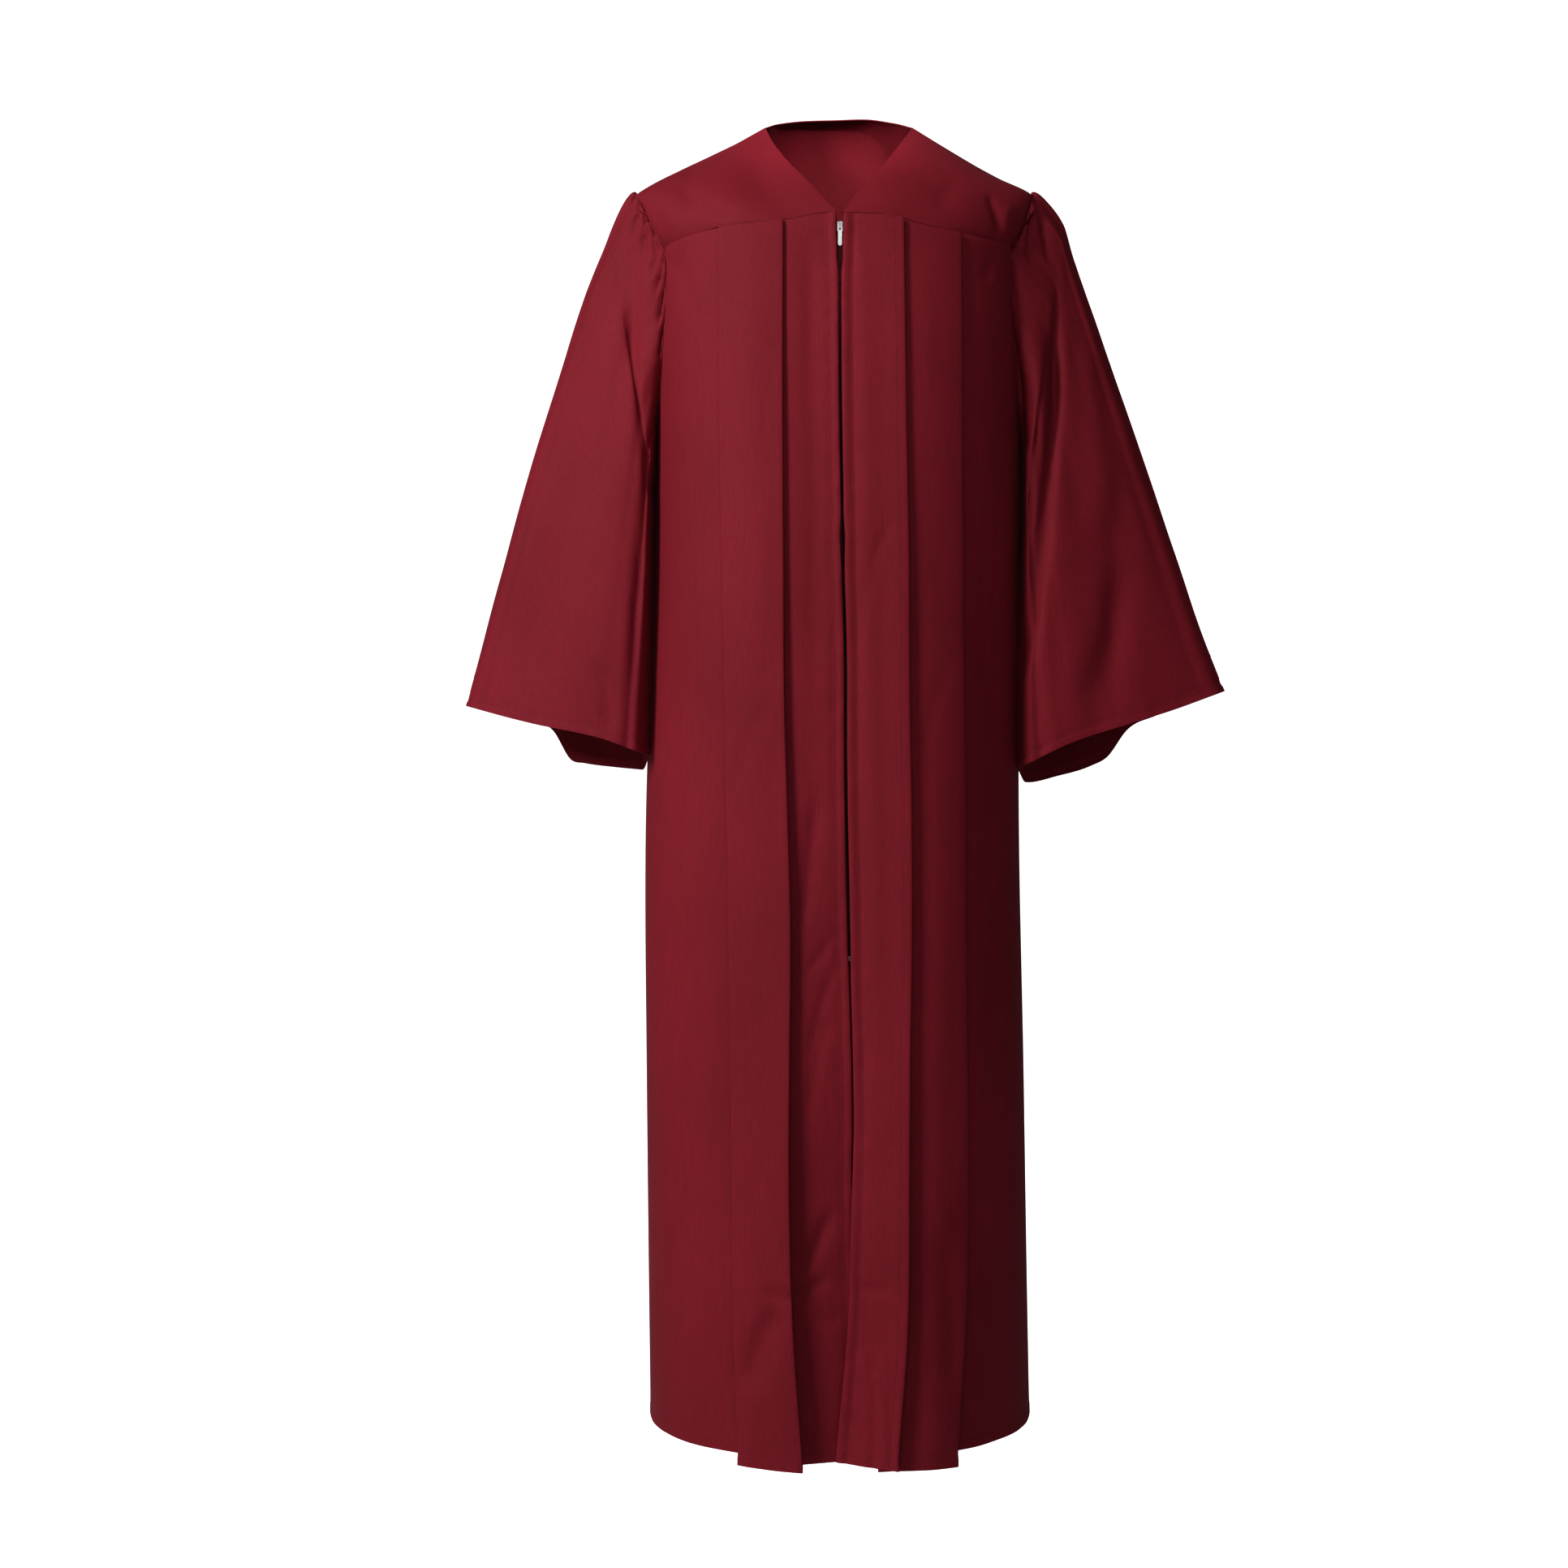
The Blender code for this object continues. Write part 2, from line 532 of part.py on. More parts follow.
def yoke_armhole_height(v):
    """Heights down the yoke's armhole edge, v from the shoulder point to the corner."""
    corner = ARMHOLE["height"][0]
    return SHOULDER_POINT + (corner - SHOULDER_POINT) * (1 - np.cos(math.pi / 2 * v))


def part_seams(grid, way):
    """Draws a yoke's edges back from its shoulder line, in direction way, and its lower seam."""
    v = np.linspace(0, 1, grid.shape[1])[None, :]
    grid[..., 1] += way * (SEAM_GAP / 2 + SEAM_SLOPE) * (1 - v) ** 6
    grid[..., 2] += (SEAM_GAP + SEAM_SLOPE) * v ** 6
    return grid


def yoke_front_grid(side, columns=14, rows=6):
    """Middle surface of a front yoke, neck edge to armhole by shoulder to seam."""
    u = np.linspace(0, 1, columns + 1)
    v = np.linspace(0, 1, rows + 1)
    neck = along(NECK_RIGHT if side == "right" else NECK_LEFT, v)
    shoulder = along(SHOULDER_RIGHT if side == "right" else SHOULDER_LEFT, u)
    armhole = armhole_point(side, yoke_armhole_height(v), "front")
    seam = seam_point(side, neck[-1, 0] + (armhole[-1, 0] - neck[-1, 0]) * u)
    return part_seams(patch(neck, armhole, shoulder, seam), -1.0)


def yoke_back_grid(columns=26, rows=6):
    """Middle surface of the back yoke, from the wearer's right armhole to the left one."""
    shares = np.linspace(-1, 1, columns + 1)
    v = np.linspace(0, 1, rows + 1)
    top = np.array([yoke_back_top(share) for share in shares])
    right, left = (armhole_point(side, yoke_armhole_height(v), "back") for side in ("right", "left"))
    seam_x = np.where(shares < 0, -shares * right[-1, 0], shares * left[-1, 0])
    seam_z = np.full_like(seam_x, ARMHOLE["height"][0])
    seam_y = np.where(shares < 0, depth_at("right", seam_x, seam_z, "back"),
                      depth_at("left", seam_x, seam_z, "back"))
    seam = np.stack([seam_x, seam_y, seam_z], axis=-1)
    return part_seams(patch(right, left, top, seam), 1.0)


def yoke_back_top(share):
    """The back yoke's upper edge: shoulder, neck and shoulder, share being -1 to 1."""
    if share < -NECK_SHARE:
        return along(SHOULDER_RIGHT, (-share - NECK_SHARE) / (1 - NECK_SHARE))
    if share > NECK_SHARE:
        return along(SHOULDER_LEFT, (share - NECK_SHARE) / (1 - NECK_SHARE))
    return along(NECK_BACK, (share / NECK_SHARE + 1) / 2)


def back_grid(rows=13, columns=54):
    """Middle surface of the back, from the wearer's right side seam to the left one."""
    share = np.linspace(0, 1, columns + 1)[:, None]
    down = row_shares(rows)[None, :]
    top = ARMHOLE["height"][0]
    z = top + (-1.352 - top) * down + np.zeros_like(share)
    start = side_angle(z, "back")
    angle = start + (math.pi - 2 * start) * share
    right, left = (curve(BODY, side, z) for side in ("right", "left"))
    across = np.where(angle < math.pi / 2, right, left)
    cosine = np.cos(angle)
    x = -np.sign(cosine) * across * np.abs(cosine) ** (2 / ROUNDNESS)
    y = curve(BODY, "back", z) * np.sin(angle) ** (2 / ROUNDNESS)
    height = forward((BACK_FLUTE_TOP, BACK_FLUTE_HEM), z) * np.sin(math.pi * share) ** 0.35
    flute = height * (0.5 - 0.5 * np.cos(2 * math.pi * BACK_FLUTES * share))
    return np.stack([x, np.maximum(y + flute, SEAM_GAP / 2), z], axis=-1)


def sleeve_grid(side, rings=11, points=60):
    """Middle surface of a sleeve, points round by rings down, from the armhole to the cuff."""
    sign = sign_of(side)
    table = SLEEVE_RIGHT if side == "right" else SLEEVE_LEFT
    share = np.linspace(0, 1, rings + 1) ** RING_CROWDING
    s = share[None, :]
    turn = (np.arange(points) / points)[:, None]
    # Round the ring from the outer edge forward to the inner edge and back: crowded at the head
    angle = 2 * math.pi * (turn - HEAD_CROWDING * np.sin(2 * math.pi * turn))

    outer = np.stack([curve(table, "x", s), curve(SLEEVE_FORM, "outer_y", s), curve(table, "z", s)], -1)
    inner_z = UNDERARM - 0.002 + (CUFF_INNER[side] - UNDERARM) * s
    inner_y = curve(SLEEVE_FORM, "inner_y", s)
    inner_x = body_point(side, -inner_y / curve(BODY, "front", inner_z), inner_z)
    clear = SLEEVE_CLEARANCE[side] * np.clip(s / 0.15, 0.22, 1)
    inner = np.stack([inner_x + sign * clear, inner_y - clear * s, inner_z], -1)

    across = (1 - np.cos(angle)) / 2
    forward_side = np.sin(angle) > 0
    depth = np.where(forward_side, curve(SLEEVE_FORM, "front", s) * curve(SLEEVE_ACROSS, "front", across),
                     -curve(SLEEVE_FORM, "back", s) * curve(SLEEVE_ACROSS, "back", across))
    tube = outer + (inner - outer) * across[..., None]
    tube[..., 1] -= depth
    cuff = CUFF_DROP[side]
    at_back = curve(cuff, "back", across) * smooth_step(1 - across, 0, 0.06)
    drop = np.where(forward_side, curve(cuff, "front", across), at_back)
    tube[..., 2] -= drop * smooth_step(s, 0.3, 1.0)

    # The first ring is the armhole seam itself, and the tube grows out of it
    middle = (UNDERARM + SHOULDER_POINT) / 2
    reach = (SHOULDER_POINT - UNDERARM) / 2
    seam_z = middle + reach * np.cos(angle)
    seam_y = -ARMHOLE_HALF_DEPTH * np.sin(angle)
    apart = SEAM_GAP + SEAM_SLOPE * (1 + 0.9 * (1 - np.cos(angle)))
    seam = np.stack([armhole_x(side, seam_z) + sign * apart, seam_y, seam_z], axis=-1)
    ease = smooth_step(s, 0, SLEEVE_GROWS)[..., None]
    points_at = seam + (tube - seam) * ease

    from_top = (angle + math.pi) % (2 * math.pi) - math.pi
    wave = np.cos(GATHERS * from_top) * np.clip(np.cos(from_top / 1.6), 0, 1)
    fade = np.sin(math.pi * np.clip(s / 0.06, 0, 1) / 2) * np.exp(-s / GATHER_REACH)
    outward = unit(points_at - (outer + inner) / 2)
    rise = GATHER_HEIGHT * wave * fade
    for fold in SLEEVE_FOLDS[side]:
        centre = np.radians(np.interp(s, fold["share"], fold["angle"]))
        off = (angle - centre + math.pi) % (2 * math.pi) - math.pi
        first, last = fold["share"][0], fold["share"][-1]
        fade = FOLD_FADE * (last - first)
        reach = smooth_step(s, first, first + fade) * smooth_step(last - s, 0, fade)
        rise = rise - fold["depth"] * reach * np.exp(-(off / np.radians(fold["spread"])) ** 2)
    return points_at + outward * rise[..., None]


def tape_grid(side, rows=14):
    """A zip tape behind the turned-back edge."""
    sign = sign_of(side)
    seam = float(curve(YOKE_SEAM, "height", np.array(0.0)))
    z = seam + (MIDDLE_HEM - seam) * row_shares(rows)
    z = np.concatenate([[ZIP_TOP], z[(z < ZIP_TOP) & (z > ZIP_BOTTOM)], [ZIP_BOTTOM]])[None, :]
    inset = np.array([0.0013, 0.0055, 0.0100, 0.0140])[:, None]
    x = curve(MIDDLE, side + "_edge", z) + sign * inset
    behind = 2 * FOLD_RADIUS + (CLOTH + TAPE) / 2 + SEAM_GAP
    y = -depth_at(side, x, z) - middle_forward("left", z) + behind
    return np.stack([x, y, z + np.zeros_like(x)], axis=-1)


def zip_frame():
    """The place and slope of the zip at its slider, y being the tape's middle."""
    def tape_y(z):
        z = np.array(z)
        behind = 2 * FOLD_RADIUS + (CLOTH + TAPE) / 2 + SEAM_GAP
        return float(-depth_at("left", np.array(0.0), z) - middle_forward("left", z) + behind)
    step = TAB_LENGTH / 2
    slope = (tape_y(SLIDER_HEIGHT) - tape_y(SLIDER_HEIGHT - step)) / step
    turn = Matrix.Rotation(-math.atan(slope), 4, "X")
    return Matrix.Translation((0.0, tape_y(SLIDER_HEIGHT), SLIDER_HEIGHT)) @ turn


def join_boxes(name, boxes, material):
    """One body from boxes that overlap."""
    base = None
    for low, high in boxes:
        mesh = bpy.data.meshes.new(name)
        shape = box_mesh(low, high)
        shape.to_mesh(mesh)
        shape.free()
        if base is None:
            base = add_object(name, mesh, material)
            continue
        cutter = bpy.data.objects.new(name + "_guide", mesh)
        bpy.context.scene.collection.objects.link(cutter)
        cutter.hide_render = True
        cutter.display_type = "WIRE"
        union = base.modifiers.new("union", "BOOLEAN")
        union.operation = "UNION"
        union.object = cutter
    return base


def make_slider(metal):
    slider = join_boxes("zip_slider", SLIDER.values(), metal)
    for piece in [slider] + [m.object for m in slider.modifiers]:
        piece.matrix_world = zip_frame()
    return slider


def make_pull_tab(metal):
    """A flat tab with a slot that rides on the slider's bridge; its origin is on its pivot."""
    half, thick = TAB_HALF_WIDTH, TAB_THICKNESS / 2
    slot, reach = TAB_SLOT["half width"], TAB_SLOT["reach"]
    bar = TAB_BAR
    lower_round = 6
    outline = [(-half, bar), (half, bar)]
    for k in range(lower_round + 1):
        swing = math.pi * k / lower_round
        outline.append((half * math.cos(swing), -TAB_LENGTH + half - half * math.sin(swing)))
    hole = [(-slot, -bar), (slot, -bar), (slot, -reach), (-slot, -reach)]
    shape = bmesh.new()
    layers = []
    for y in (-thick, thick):
        rim = [shape.verts.new((x, y, z)) for x, z in outline]
        gap = [shape.verts.new((x, y, z)) for x, z in hole]
        edges = [shape.edges.new((ring[k], ring[(k + 1) % len(ring)])) for ring in (rim, gap)
                 for k in range(len(ring))]
        bmesh.ops.triangle_fill(shape, use_beauty=True, use_dissolve=False, edges=edges)
        layers.append((rim, gap))
    for k in range(2):
        front, back = layers[0][k], layers[1][k]
        for n in range(len(front)):
            m = (n + 1) % len(front)
            shape.faces.new([front[n], front[m], back[m], back[n]])
    bmesh.ops.recalc_face_normals(shape, faces=shape.faces[:])
    mesh = bpy.data.meshes.new("zip_pull_tab")
    shape.to_mesh(mesh)
    shape.free()
    tab = add_object("zip_pull_tab", mesh, metal)
    tab.matrix_world = zip_frame() @ Matrix.Translation((0.0, PIVOT_Y, 0.0))
    return tab


def make_bottom_stop(metal):
    """The stop that clamps both tapes at the zip's lower end."""
    z = ZIP_BOTTOM + 0.004
    x = float(curve(MIDDLE, "right_edge", np.array(z)))
    behind = 2 * FOLD_RADIUS + (CLOTH + TAPE) / 2 + SEAM_GAP
    y = float(-depth_at("left", np.array(x), np.array(z)) - middle_forward("left", np.array(z))) + behind
    front = y - TAPE / 2 - SEAM_GAP
    mesh = bpy.data.meshes.new("zip_bottom_stop")
    shape = box_mesh((x - 0.0019, front - 0.0013, z - 0.0022), (x + 0.0019, front, z + 0.0022))
    shape.to_mesh(mesh)
    shape.free()
    return add_object("zip_bottom_stop", mesh, metal)


def main():
    for old in list(bpy.data.objects):
        bpy.data.objects.remove(old)
    cloth = make_material("burgundy_polyester", (0.16, 0.018, 0.022), 0.72)
    tape = make_material("zip_tape", (0.10, 0.010, 0.014), 0.80)
    metal = make_material("painted_zip_metal", (0.20, 0.03, 0.035), 0.35, 0.6)

    for side in ("right", "left"):
        wall("front_" + side, front_grid(side, 14), CLOTH, cloth)
        wall("yoke_front_" + side, yoke_front_grid(side), CLOTH, cloth)
        wall("sleeve_" + side, sleeve_grid(side), CLOTH, cloth, closed=True)
        wall("zip_tape_" + side, tape_grid(side), TAPE, tape)
    wall("back", back_grid(), CLOTH, cloth)
    wall("yoke_back", yoke_back_grid(), CLOTH, cloth)
    make_slider(metal)
    make_pull_tab(metal)
    make_bottom_stop(metal)


main()
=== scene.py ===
import math

import bpy
import numpy as np
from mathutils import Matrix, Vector


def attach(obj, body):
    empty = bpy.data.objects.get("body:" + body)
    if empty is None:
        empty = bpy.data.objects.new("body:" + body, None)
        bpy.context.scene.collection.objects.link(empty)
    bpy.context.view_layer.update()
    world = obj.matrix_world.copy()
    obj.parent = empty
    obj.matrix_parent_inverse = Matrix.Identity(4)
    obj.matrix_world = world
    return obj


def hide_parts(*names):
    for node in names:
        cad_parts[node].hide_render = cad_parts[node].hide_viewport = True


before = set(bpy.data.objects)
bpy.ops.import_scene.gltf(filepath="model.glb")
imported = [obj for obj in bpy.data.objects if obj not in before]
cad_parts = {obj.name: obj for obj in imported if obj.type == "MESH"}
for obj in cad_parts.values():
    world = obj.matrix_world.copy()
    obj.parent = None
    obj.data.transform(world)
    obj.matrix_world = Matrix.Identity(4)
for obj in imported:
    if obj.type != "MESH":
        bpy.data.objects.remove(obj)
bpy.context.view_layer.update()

# A choir robe in burgundy polyester. Metres; +X is the wearer's left, +Y is behind, +Z is up. The
# cloth is worked out on the same forms as its solids, then draped, creased and sewn. Creases are
# given in millimetres over the front view, and on a sleeve in degrees round it.
MM = 0.001
SHELL = 0.0010            # thickness of the cloth's shell
STITCH_PITCH = 0.0031
STITCH_SHARE = 0.78       # share of the pitch that is thread
STITCH_RADIUS = 0.00022
STITCH_FORM = ((0.0, 0.3), (0.3, 1.0), (0.7, 1.0), (1.0, 0.3))     # its size at shares of its length
STITCH_LIFT = 0.6         # how far a stitch's middle rises and its ends sink, in radii
TOPSTITCH = 0.0085        # the zip's stitch line from its edge
HEM_TURN = 0.0090         # the hem's stitch line from its edge
DENT = 0.0010             # how deep a stitch line lies
DENT_WIDTH = 0.0016
PUCKER = 0.0006           # puckers along a stitch line: their height, length, reach and width
PUCKER_LENGTH = 0.011
PUCKER_REACH = 0.030
PUCKER_WIDTH = 0.008
HEM_RAISED = 0.0005       # how far doubled cloth stands up, at a hem and beside the zip
PLACKET_RAISED = 0.0002
RAISED_STEP = 0.0012
SEAM_DIP = 0.0006         # how far cloth dips towards its seams, and over what width
DEEPER_DIP = 0.0008
BACK_TOP_DIP = 0.0019
DIP_WIDTH = 0.0030
SEAM_TUCK = 0.0040        # how far the back's top goes up behind the yoke
BACK_TO_YOKE = 0.0040     # how far it stands out to meet the yoke, and over what height that fades
BACK_TO_YOKE_FADE = 0.05
BACK_TO_YOKE_SIDE = 0.03
LEAST_BEND = 0.7          # keeps a wall from growing thick at a sharp bend
SHARP_FROM = 60           # degrees from which an edge is shaded sharp
CREASE_FADE = 0.28        # share of a crease's length over which it fades
FINENESS = 3

# Points across and down each piece at the lowest fineness
FOLD_COLUMNS = 2
SIDE_COLUMNS = 9
FACE_COLUMNS = 7
FACING_COLUMNS = 2
FRONT_ROWS = 110
YOKE_FRONT_COLUMNS = 34
YOKE_BACK_COLUMNS = 56
YOKE_ROWS = 18
BACK_COLUMNS = 54
BACK_ROWS = 60
SLEEVE_POINTS = 84
SLEEVE_RINGS = 62
TAPE_ROWS = 60

NECK_SHARE = 0.385        # share of the back yoke's upper edge that is the neck
CLOTH = 0.0013            # thickness of the cloth wall with its seam allowances
TAPE = 0.0010             # thickness of the zip tape
SEAM_GAP = 0.00015        # what separates two pieces along a seam
SEAM_SLOPE = 0.0001       # more of it where two walls meet at a slope
SEAM_FADE = 6             # exponent: a high one keeps the gap close to the seam
FOLD_RADIUS = 0.0011      # a pleat turns round this radius
ROW_CROWDING = 1.6        # exponents that bring rows closer together near the yoke and the armhole
RING_CROWDING = 1.35
ROUNDNESS = 2.5           # exponent of the body's cross-section, 2 is an ellipse
UNDERLAP = 0.020          # cloth hidden under each pleat's edge
FACING = 0.0083           # what the middle edges turn back
TOP_OF_FRONTS = -0.135    # nominal height of the yoke seam
HEM = -1.360              # nominal height of the hem
UNDERARM = -0.340
SHOULDER_POINT = -0.0715
ARMHOLE_MIDDLE = (UNDERARM + SHOULDER_POINT) / 2
ARMHOLE_REACH = (SHOULDER_POINT - UNDERARM) / 2
ARMHOLE_HALF_DEPTH = 0.060
ARMHOLE_EASE = 0.010      # height over which its seam comes from the body to the yoke
ZIP_TOP = -0.127
ZIP_BOTTOM = -0.872
SLIDER_HEIGHT = -0.1335

# The hollow body by height: its half width on the wearer's right and left, its front and back depth
BODY = {
    "height": (-0.070, -0.120, -0.150, -0.250, -0.340, -0.500, -0.730, -1.000, -1.200, -1.370),
    "right": (0.1900, 0.1910, 0.1915, 0.1925, 0.1920, 0.1960, 0.2040, 0.2030, 0.2008, 0.1985),
    "left": (0.1860, 0.1870, 0.1875, 0.1890, 0.1895, 0.1885, 0.1880, 0.1930, 0.1960, 0.1990),
    "front": (0.1050, 0.1165, 0.1200, 0.1340, 0.1380, 0.1420, 0.1500, 0.1600, 0.1680, 0.1740),
    "back": (0.0950, 0.1050, 0.1100, 0.1220, 0.1270, 0.1330, 0.1420, 0.1540, 0.1630, 0.1700),
}

# The armhole seam above the yoke's corner, by height
ARMHOLE = {
    "height": (-0.138, -0.125, -0.108, -0.0905, -0.0715),
    "right": (0.1810, 0.1903, 0.1992, 0.2065, 0.2160),
    "left": (0.1772, 0.1850, 0.1925, 0.1985, 0.2030),
}

# The yoke's front seam: its height at each x
YOKE_SEAM = {
    "x": (-0.183, -0.173, -0.129, -0.054, -0.0074, 0.0057, 0.048, 0.096, 0.125, 0.161, 0.179),
    "height": (-0.1382, -0.1366, -0.1306, -0.1256, -0.1190, -0.1195, -0.1224, -0.1325, -0.1358,
               -0.1376, -0.1382),
}

# How far forward of the body the yoke's front seam stands, by distance from the middle
YOKE_FORWARD = {
    "x": (0.000, 0.050, 0.068, 0.115, 0.138, 0.190),
    "right": (0.0040, 0.0016, 0.0038, 0.0040, 0.0004, 0.0000),
    "left": (0.0050, 0.0080, 0.0066, 0.0040, 0.0004, 0.0000),
}

# Neck edge of the yoke, from the shoulder down to the point of the V
NECK_RIGHT = {
    "x": (-0.0790, -0.0668, -0.0519, -0.0348, -0.0189, -0.0074, -0.0028),
    "y": (0.0000, -0.0420, -0.0660, -0.0870, -0.1040, -0.1130, -0.1160),
    "z": (0.0000, -0.0315, -0.0552, -0.0775, -0.0986, -0.1124, -0.1178),
}
NECK_LEFT = {
    "x": (0.0765, 0.0618, 0.0417, 0.0273, 0.0132, 0.0057, 0.0028),
    "y": (0.0000, -0.0370, -0.0700, -0.0900, -0.1040, -0.1125, -0.1160),
    "z": (0.0000, -0.0286, -0.0613, -0.0816, -0.1002, -0.1140, -0.1182),
}
NECK_BACK = {
    "x": (-0.0790, -0.0654, -0.0439, -0.0044, 0.0308, 0.0568, 0.0765),
    "y": (0.0000, 0.0350, 0.0520, 0.0600, 0.0560, 0.0400, 0.0000),
    "z": (0.0000, 0.0143, 0.0219, 0.0256, 0.0251, 0.0167, 0.0000),
}
SHOULDER_RIGHT = {
    "x": (-0.0790, -0.0946, -0.1058, -0.1333, -0.1763, -0.2160),
    "z": (0.0000, -0.0087, -0.0150, -0.0285, -0.0491, -0.0715),
}
SHOULDER_LEFT = {
    "x": (0.0765, 0.0989, 0.1180, 0.1419, 0.1720, 0.2030),
    "z": (0.0000, -0.0139, -0.0255, -0.0397, -0.0560, -0.0715),
}

# The pleats' edges, by height, and the line of the zip with half its opening
PLEATS = {
    "height": (-0.140, -0.316, -0.480, -0.609, -0.722, -0.842, -0.962, -1.080, -1.228, -1.352),
    "first_right": (-0.1234, -0.1217, -0.1182, -0.1152, -0.1128, -0.1105, -0.1084, -0.1068,
                    -0.1045, -0.0999),
    "second_right": (-0.0573, -0.0572, -0.0562, -0.0553, -0.0520, -0.0487, -0.0495, -0.0500,
                     -0.0459, -0.0370),
    "second_left": (0.0645, 0.0662, 0.0689, 0.0694, 0.0710, 0.0713, 0.0694, 0.0684, 0.0664, 0.0570),
    "first_left": (0.1234, 0.1233, 0.1240, 0.1247, 0.1259, 0.1262, 0.1266, 0.1277, 0.1245, 0.1160),
}
MIDDLE = {
    "height": (-0.118, -0.316, -0.420, -0.480, -0.560, -0.666, -0.722, -0.800, -0.880, -0.962,
               -1.041, -1.080, -1.120, -1.228, -1.300, -1.349, -1.370),
    "right_edge": (0.0000, 0.0008, 0.0025, 0.0033, 0.0055, 0.0058, 0.0065, 0.0081, 0.0097, 0.0120,
                   0.0129, 0.0124, 0.0130, 0.0160, 0.0172, 0.0178, 0.0180),
    "left_edge": (0.0000, 0.0008, 0.0025, 0.0033, 0.0055, 0.0058, 0.0065, 0.0081, 0.0097, 0.0120,
                  0.0129, 0.0118, 0.0104, 0.0072, 0.0008, -0.0040, -0.0055),
}
ZIP_OPENING = {
    "height": (-0.118, -0.141, -0.150, -0.168, -0.182, -0.400, -0.425, -0.450, -0.480, -0.860,
               -0.885, -1.370),
    "half": (0.0040, 0.0040, 0.0034, 0.0034, 0.0018, 0.0018, 0.0015, 0.0028, 0.0018, 0.0018,
             0.0011, 0.0010),
}

# Where each front turns, from its side to its middle: the pleat's edge it turns at, how far past
# that edge, how far forward of the body before the turn and after it, at the yoke and at the hem,
# the height of the hem there, and the columns in the run that leads to the turn
RIGHT_FRONT_TURNS = [
    {"edge": "first_right", "past": UNDERLAP, "top": (0.0000, 0.0022), "low": (0.0000, 0.0022),
     "hem": -1.3560, "columns": 2},
    {"edge": "first_right", "past": 0.0, "top": (0.0024, 0.0046), "low": (0.0150, 0.0172),
     "hem": -1.3630, "columns": 2},
    {"edge": "second_right", "past": 0.0, "top": (0.0050, 0.0028), "low": (0.0290, 0.0268),
     "hem": -1.3640, "columns": 5},
    {"edge": "second_right", "past": -UNDERLAP, "top": (0.0025, 0.0003), "low": (0.0205, 0.0183),
     "hem": -1.3610, "columns": 2},
]
LEFT_FRONT_TURNS = [
    {"edge": "first_left", "past": -UNDERLAP, "top": (0.0000, 0.0022), "low": (0.0000, 0.0022),
     "hem": -1.3560, "columns": 2},
    {"edge": "first_left", "past": 0.0, "top": (0.0024, 0.0046), "low": (0.0120, 0.0142),
     "hem": -1.3680, "columns": 2},
    {"edge": "second_left", "past": -UNDERLAP, "top": (0.0046, 0.0068), "low": (0.0175, 0.0197),
     "hem": -1.3660, "columns": 6},
    {"edge": "second_left", "past": 0.0, "top": (0.0070, 0.0092), "low": (0.0250, 0.0272),
     "hem": -1.3640, "columns": 2},
]
SIDE_HEM = (-1.3510, -1.3560)      # a front's hem from its side seam to its first turn
MIDDLE_FORWARD = {"top": 0.0030, "low": 0.0040}
MIDDLE_HEM = -1.3600
TAPE_INSETS = (0.0013, 0.0055, 0.0100, 0.0140)     # points across a zip tape, from the zip's line
LIP = 0.0022              # how far the edges beside the zip stand up
LAP_DEPTH = {"height": (-0.99, -1.07, -1.37), "deeper": (0.0, 0.0046, 0.0080)}

# The back's soft flutes: how many, and how far they stand out at the yoke and at the hem
BACK_FLUTES = 9
BACK_FLUTE_TOP = 0.0002
BACK_FLUTE_HEM = 0.0100
BACK_FLUTE_FADE = 0.35    # exponent: how softly they fade towards the side seams
BACK_HEM = -1.352

# Sleeve edges in the front view, by share of the sleeve's length
SLEEVE_RIGHT = {
    "share": (0.000, 0.020, 0.042, 0.095, 0.210, 0.345, 0.540, 0.730, 0.905, 1.000),
    "x": (-0.2168, -0.2253, -0.2313, -0.2417, -0.2666, -0.2915, -0.3251, -0.3543, -0.3793, -0.3920),
    "z": (-0.0700, -0.0749, -0.0842, -0.1139, -0.1756, -0.2551, -0.3635, -0.4679, -0.5634, -0.6133),
}
SLEEVE_LEFT = {
    "share": (0.000, 0.025, 0.062, 0.160, 0.250, 0.350, 0.540, 0.725, 0.915, 1.000),
    "x": (0.2040, 0.2167, 0.2288, 0.2468, 0.2623, 0.2795, 0.3139, 0.3483, 0.3827, 0.4033),
    "z": (-0.0720, -0.0767, -0.0921, -0.1437, -0.1893, -0.2400, -0.3398, -0.4404, -0.5436, -0.5978),
}
SLEEVE_FORM = {
    "share": (0.00, 0.08, 0.30, 0.60, 1.00),
    "inner_y": (0.000, -0.006, -0.024, -0.040, -0.050),
    "outer_y": (0.000, -0.002, -0.008, -0.014, -0.020),
    "front": (0.060, 0.058, 0.048, 0.042, 0.038),
    "back": (0.060, 0.064, 0.064, 0.060, 0.054),
}

# A sleeve's front and back walls across it, from its outer edge to its inner one, as shares of
# their depth: the front is nearly flat and turns in close to the body
SLEEVE_ACROSS = {
    "across": (0.00, 0.03, 0.12, 0.45, 0.74, 0.90, 0.97, 1.00),
    "front": (0.00, 0.20, 0.38, 0.78, 1.00, 0.93, 0.68, 0.00),
    "back": (0.00, 0.26, 0.56, 0.96, 1.00, 0.78, 0.50, 0.00),
}
CUFF_INNER = {"right": -0.663, "left": -0.677}
BELOW_UNDERARM = 0.002    # where a sleeve's inner edge starts
SLEEVE_CLEARANCE = 0.0005  # between a sleeve and the body, coming about over a share of the sleeve
CLEARANCE_GROWS = 0.15
CLEARANCE_AT_SEAM = 0.22
UNDERARM_GAP = 0.9        # how much wider the armhole's gap gets from the head to the underarm
CUFF_DROP_FROM = 0.3      # share of the sleeve at which its cuff starts to hang
INNER_CORNER = 0.06       # how much of the cuff its inner corner rounds off

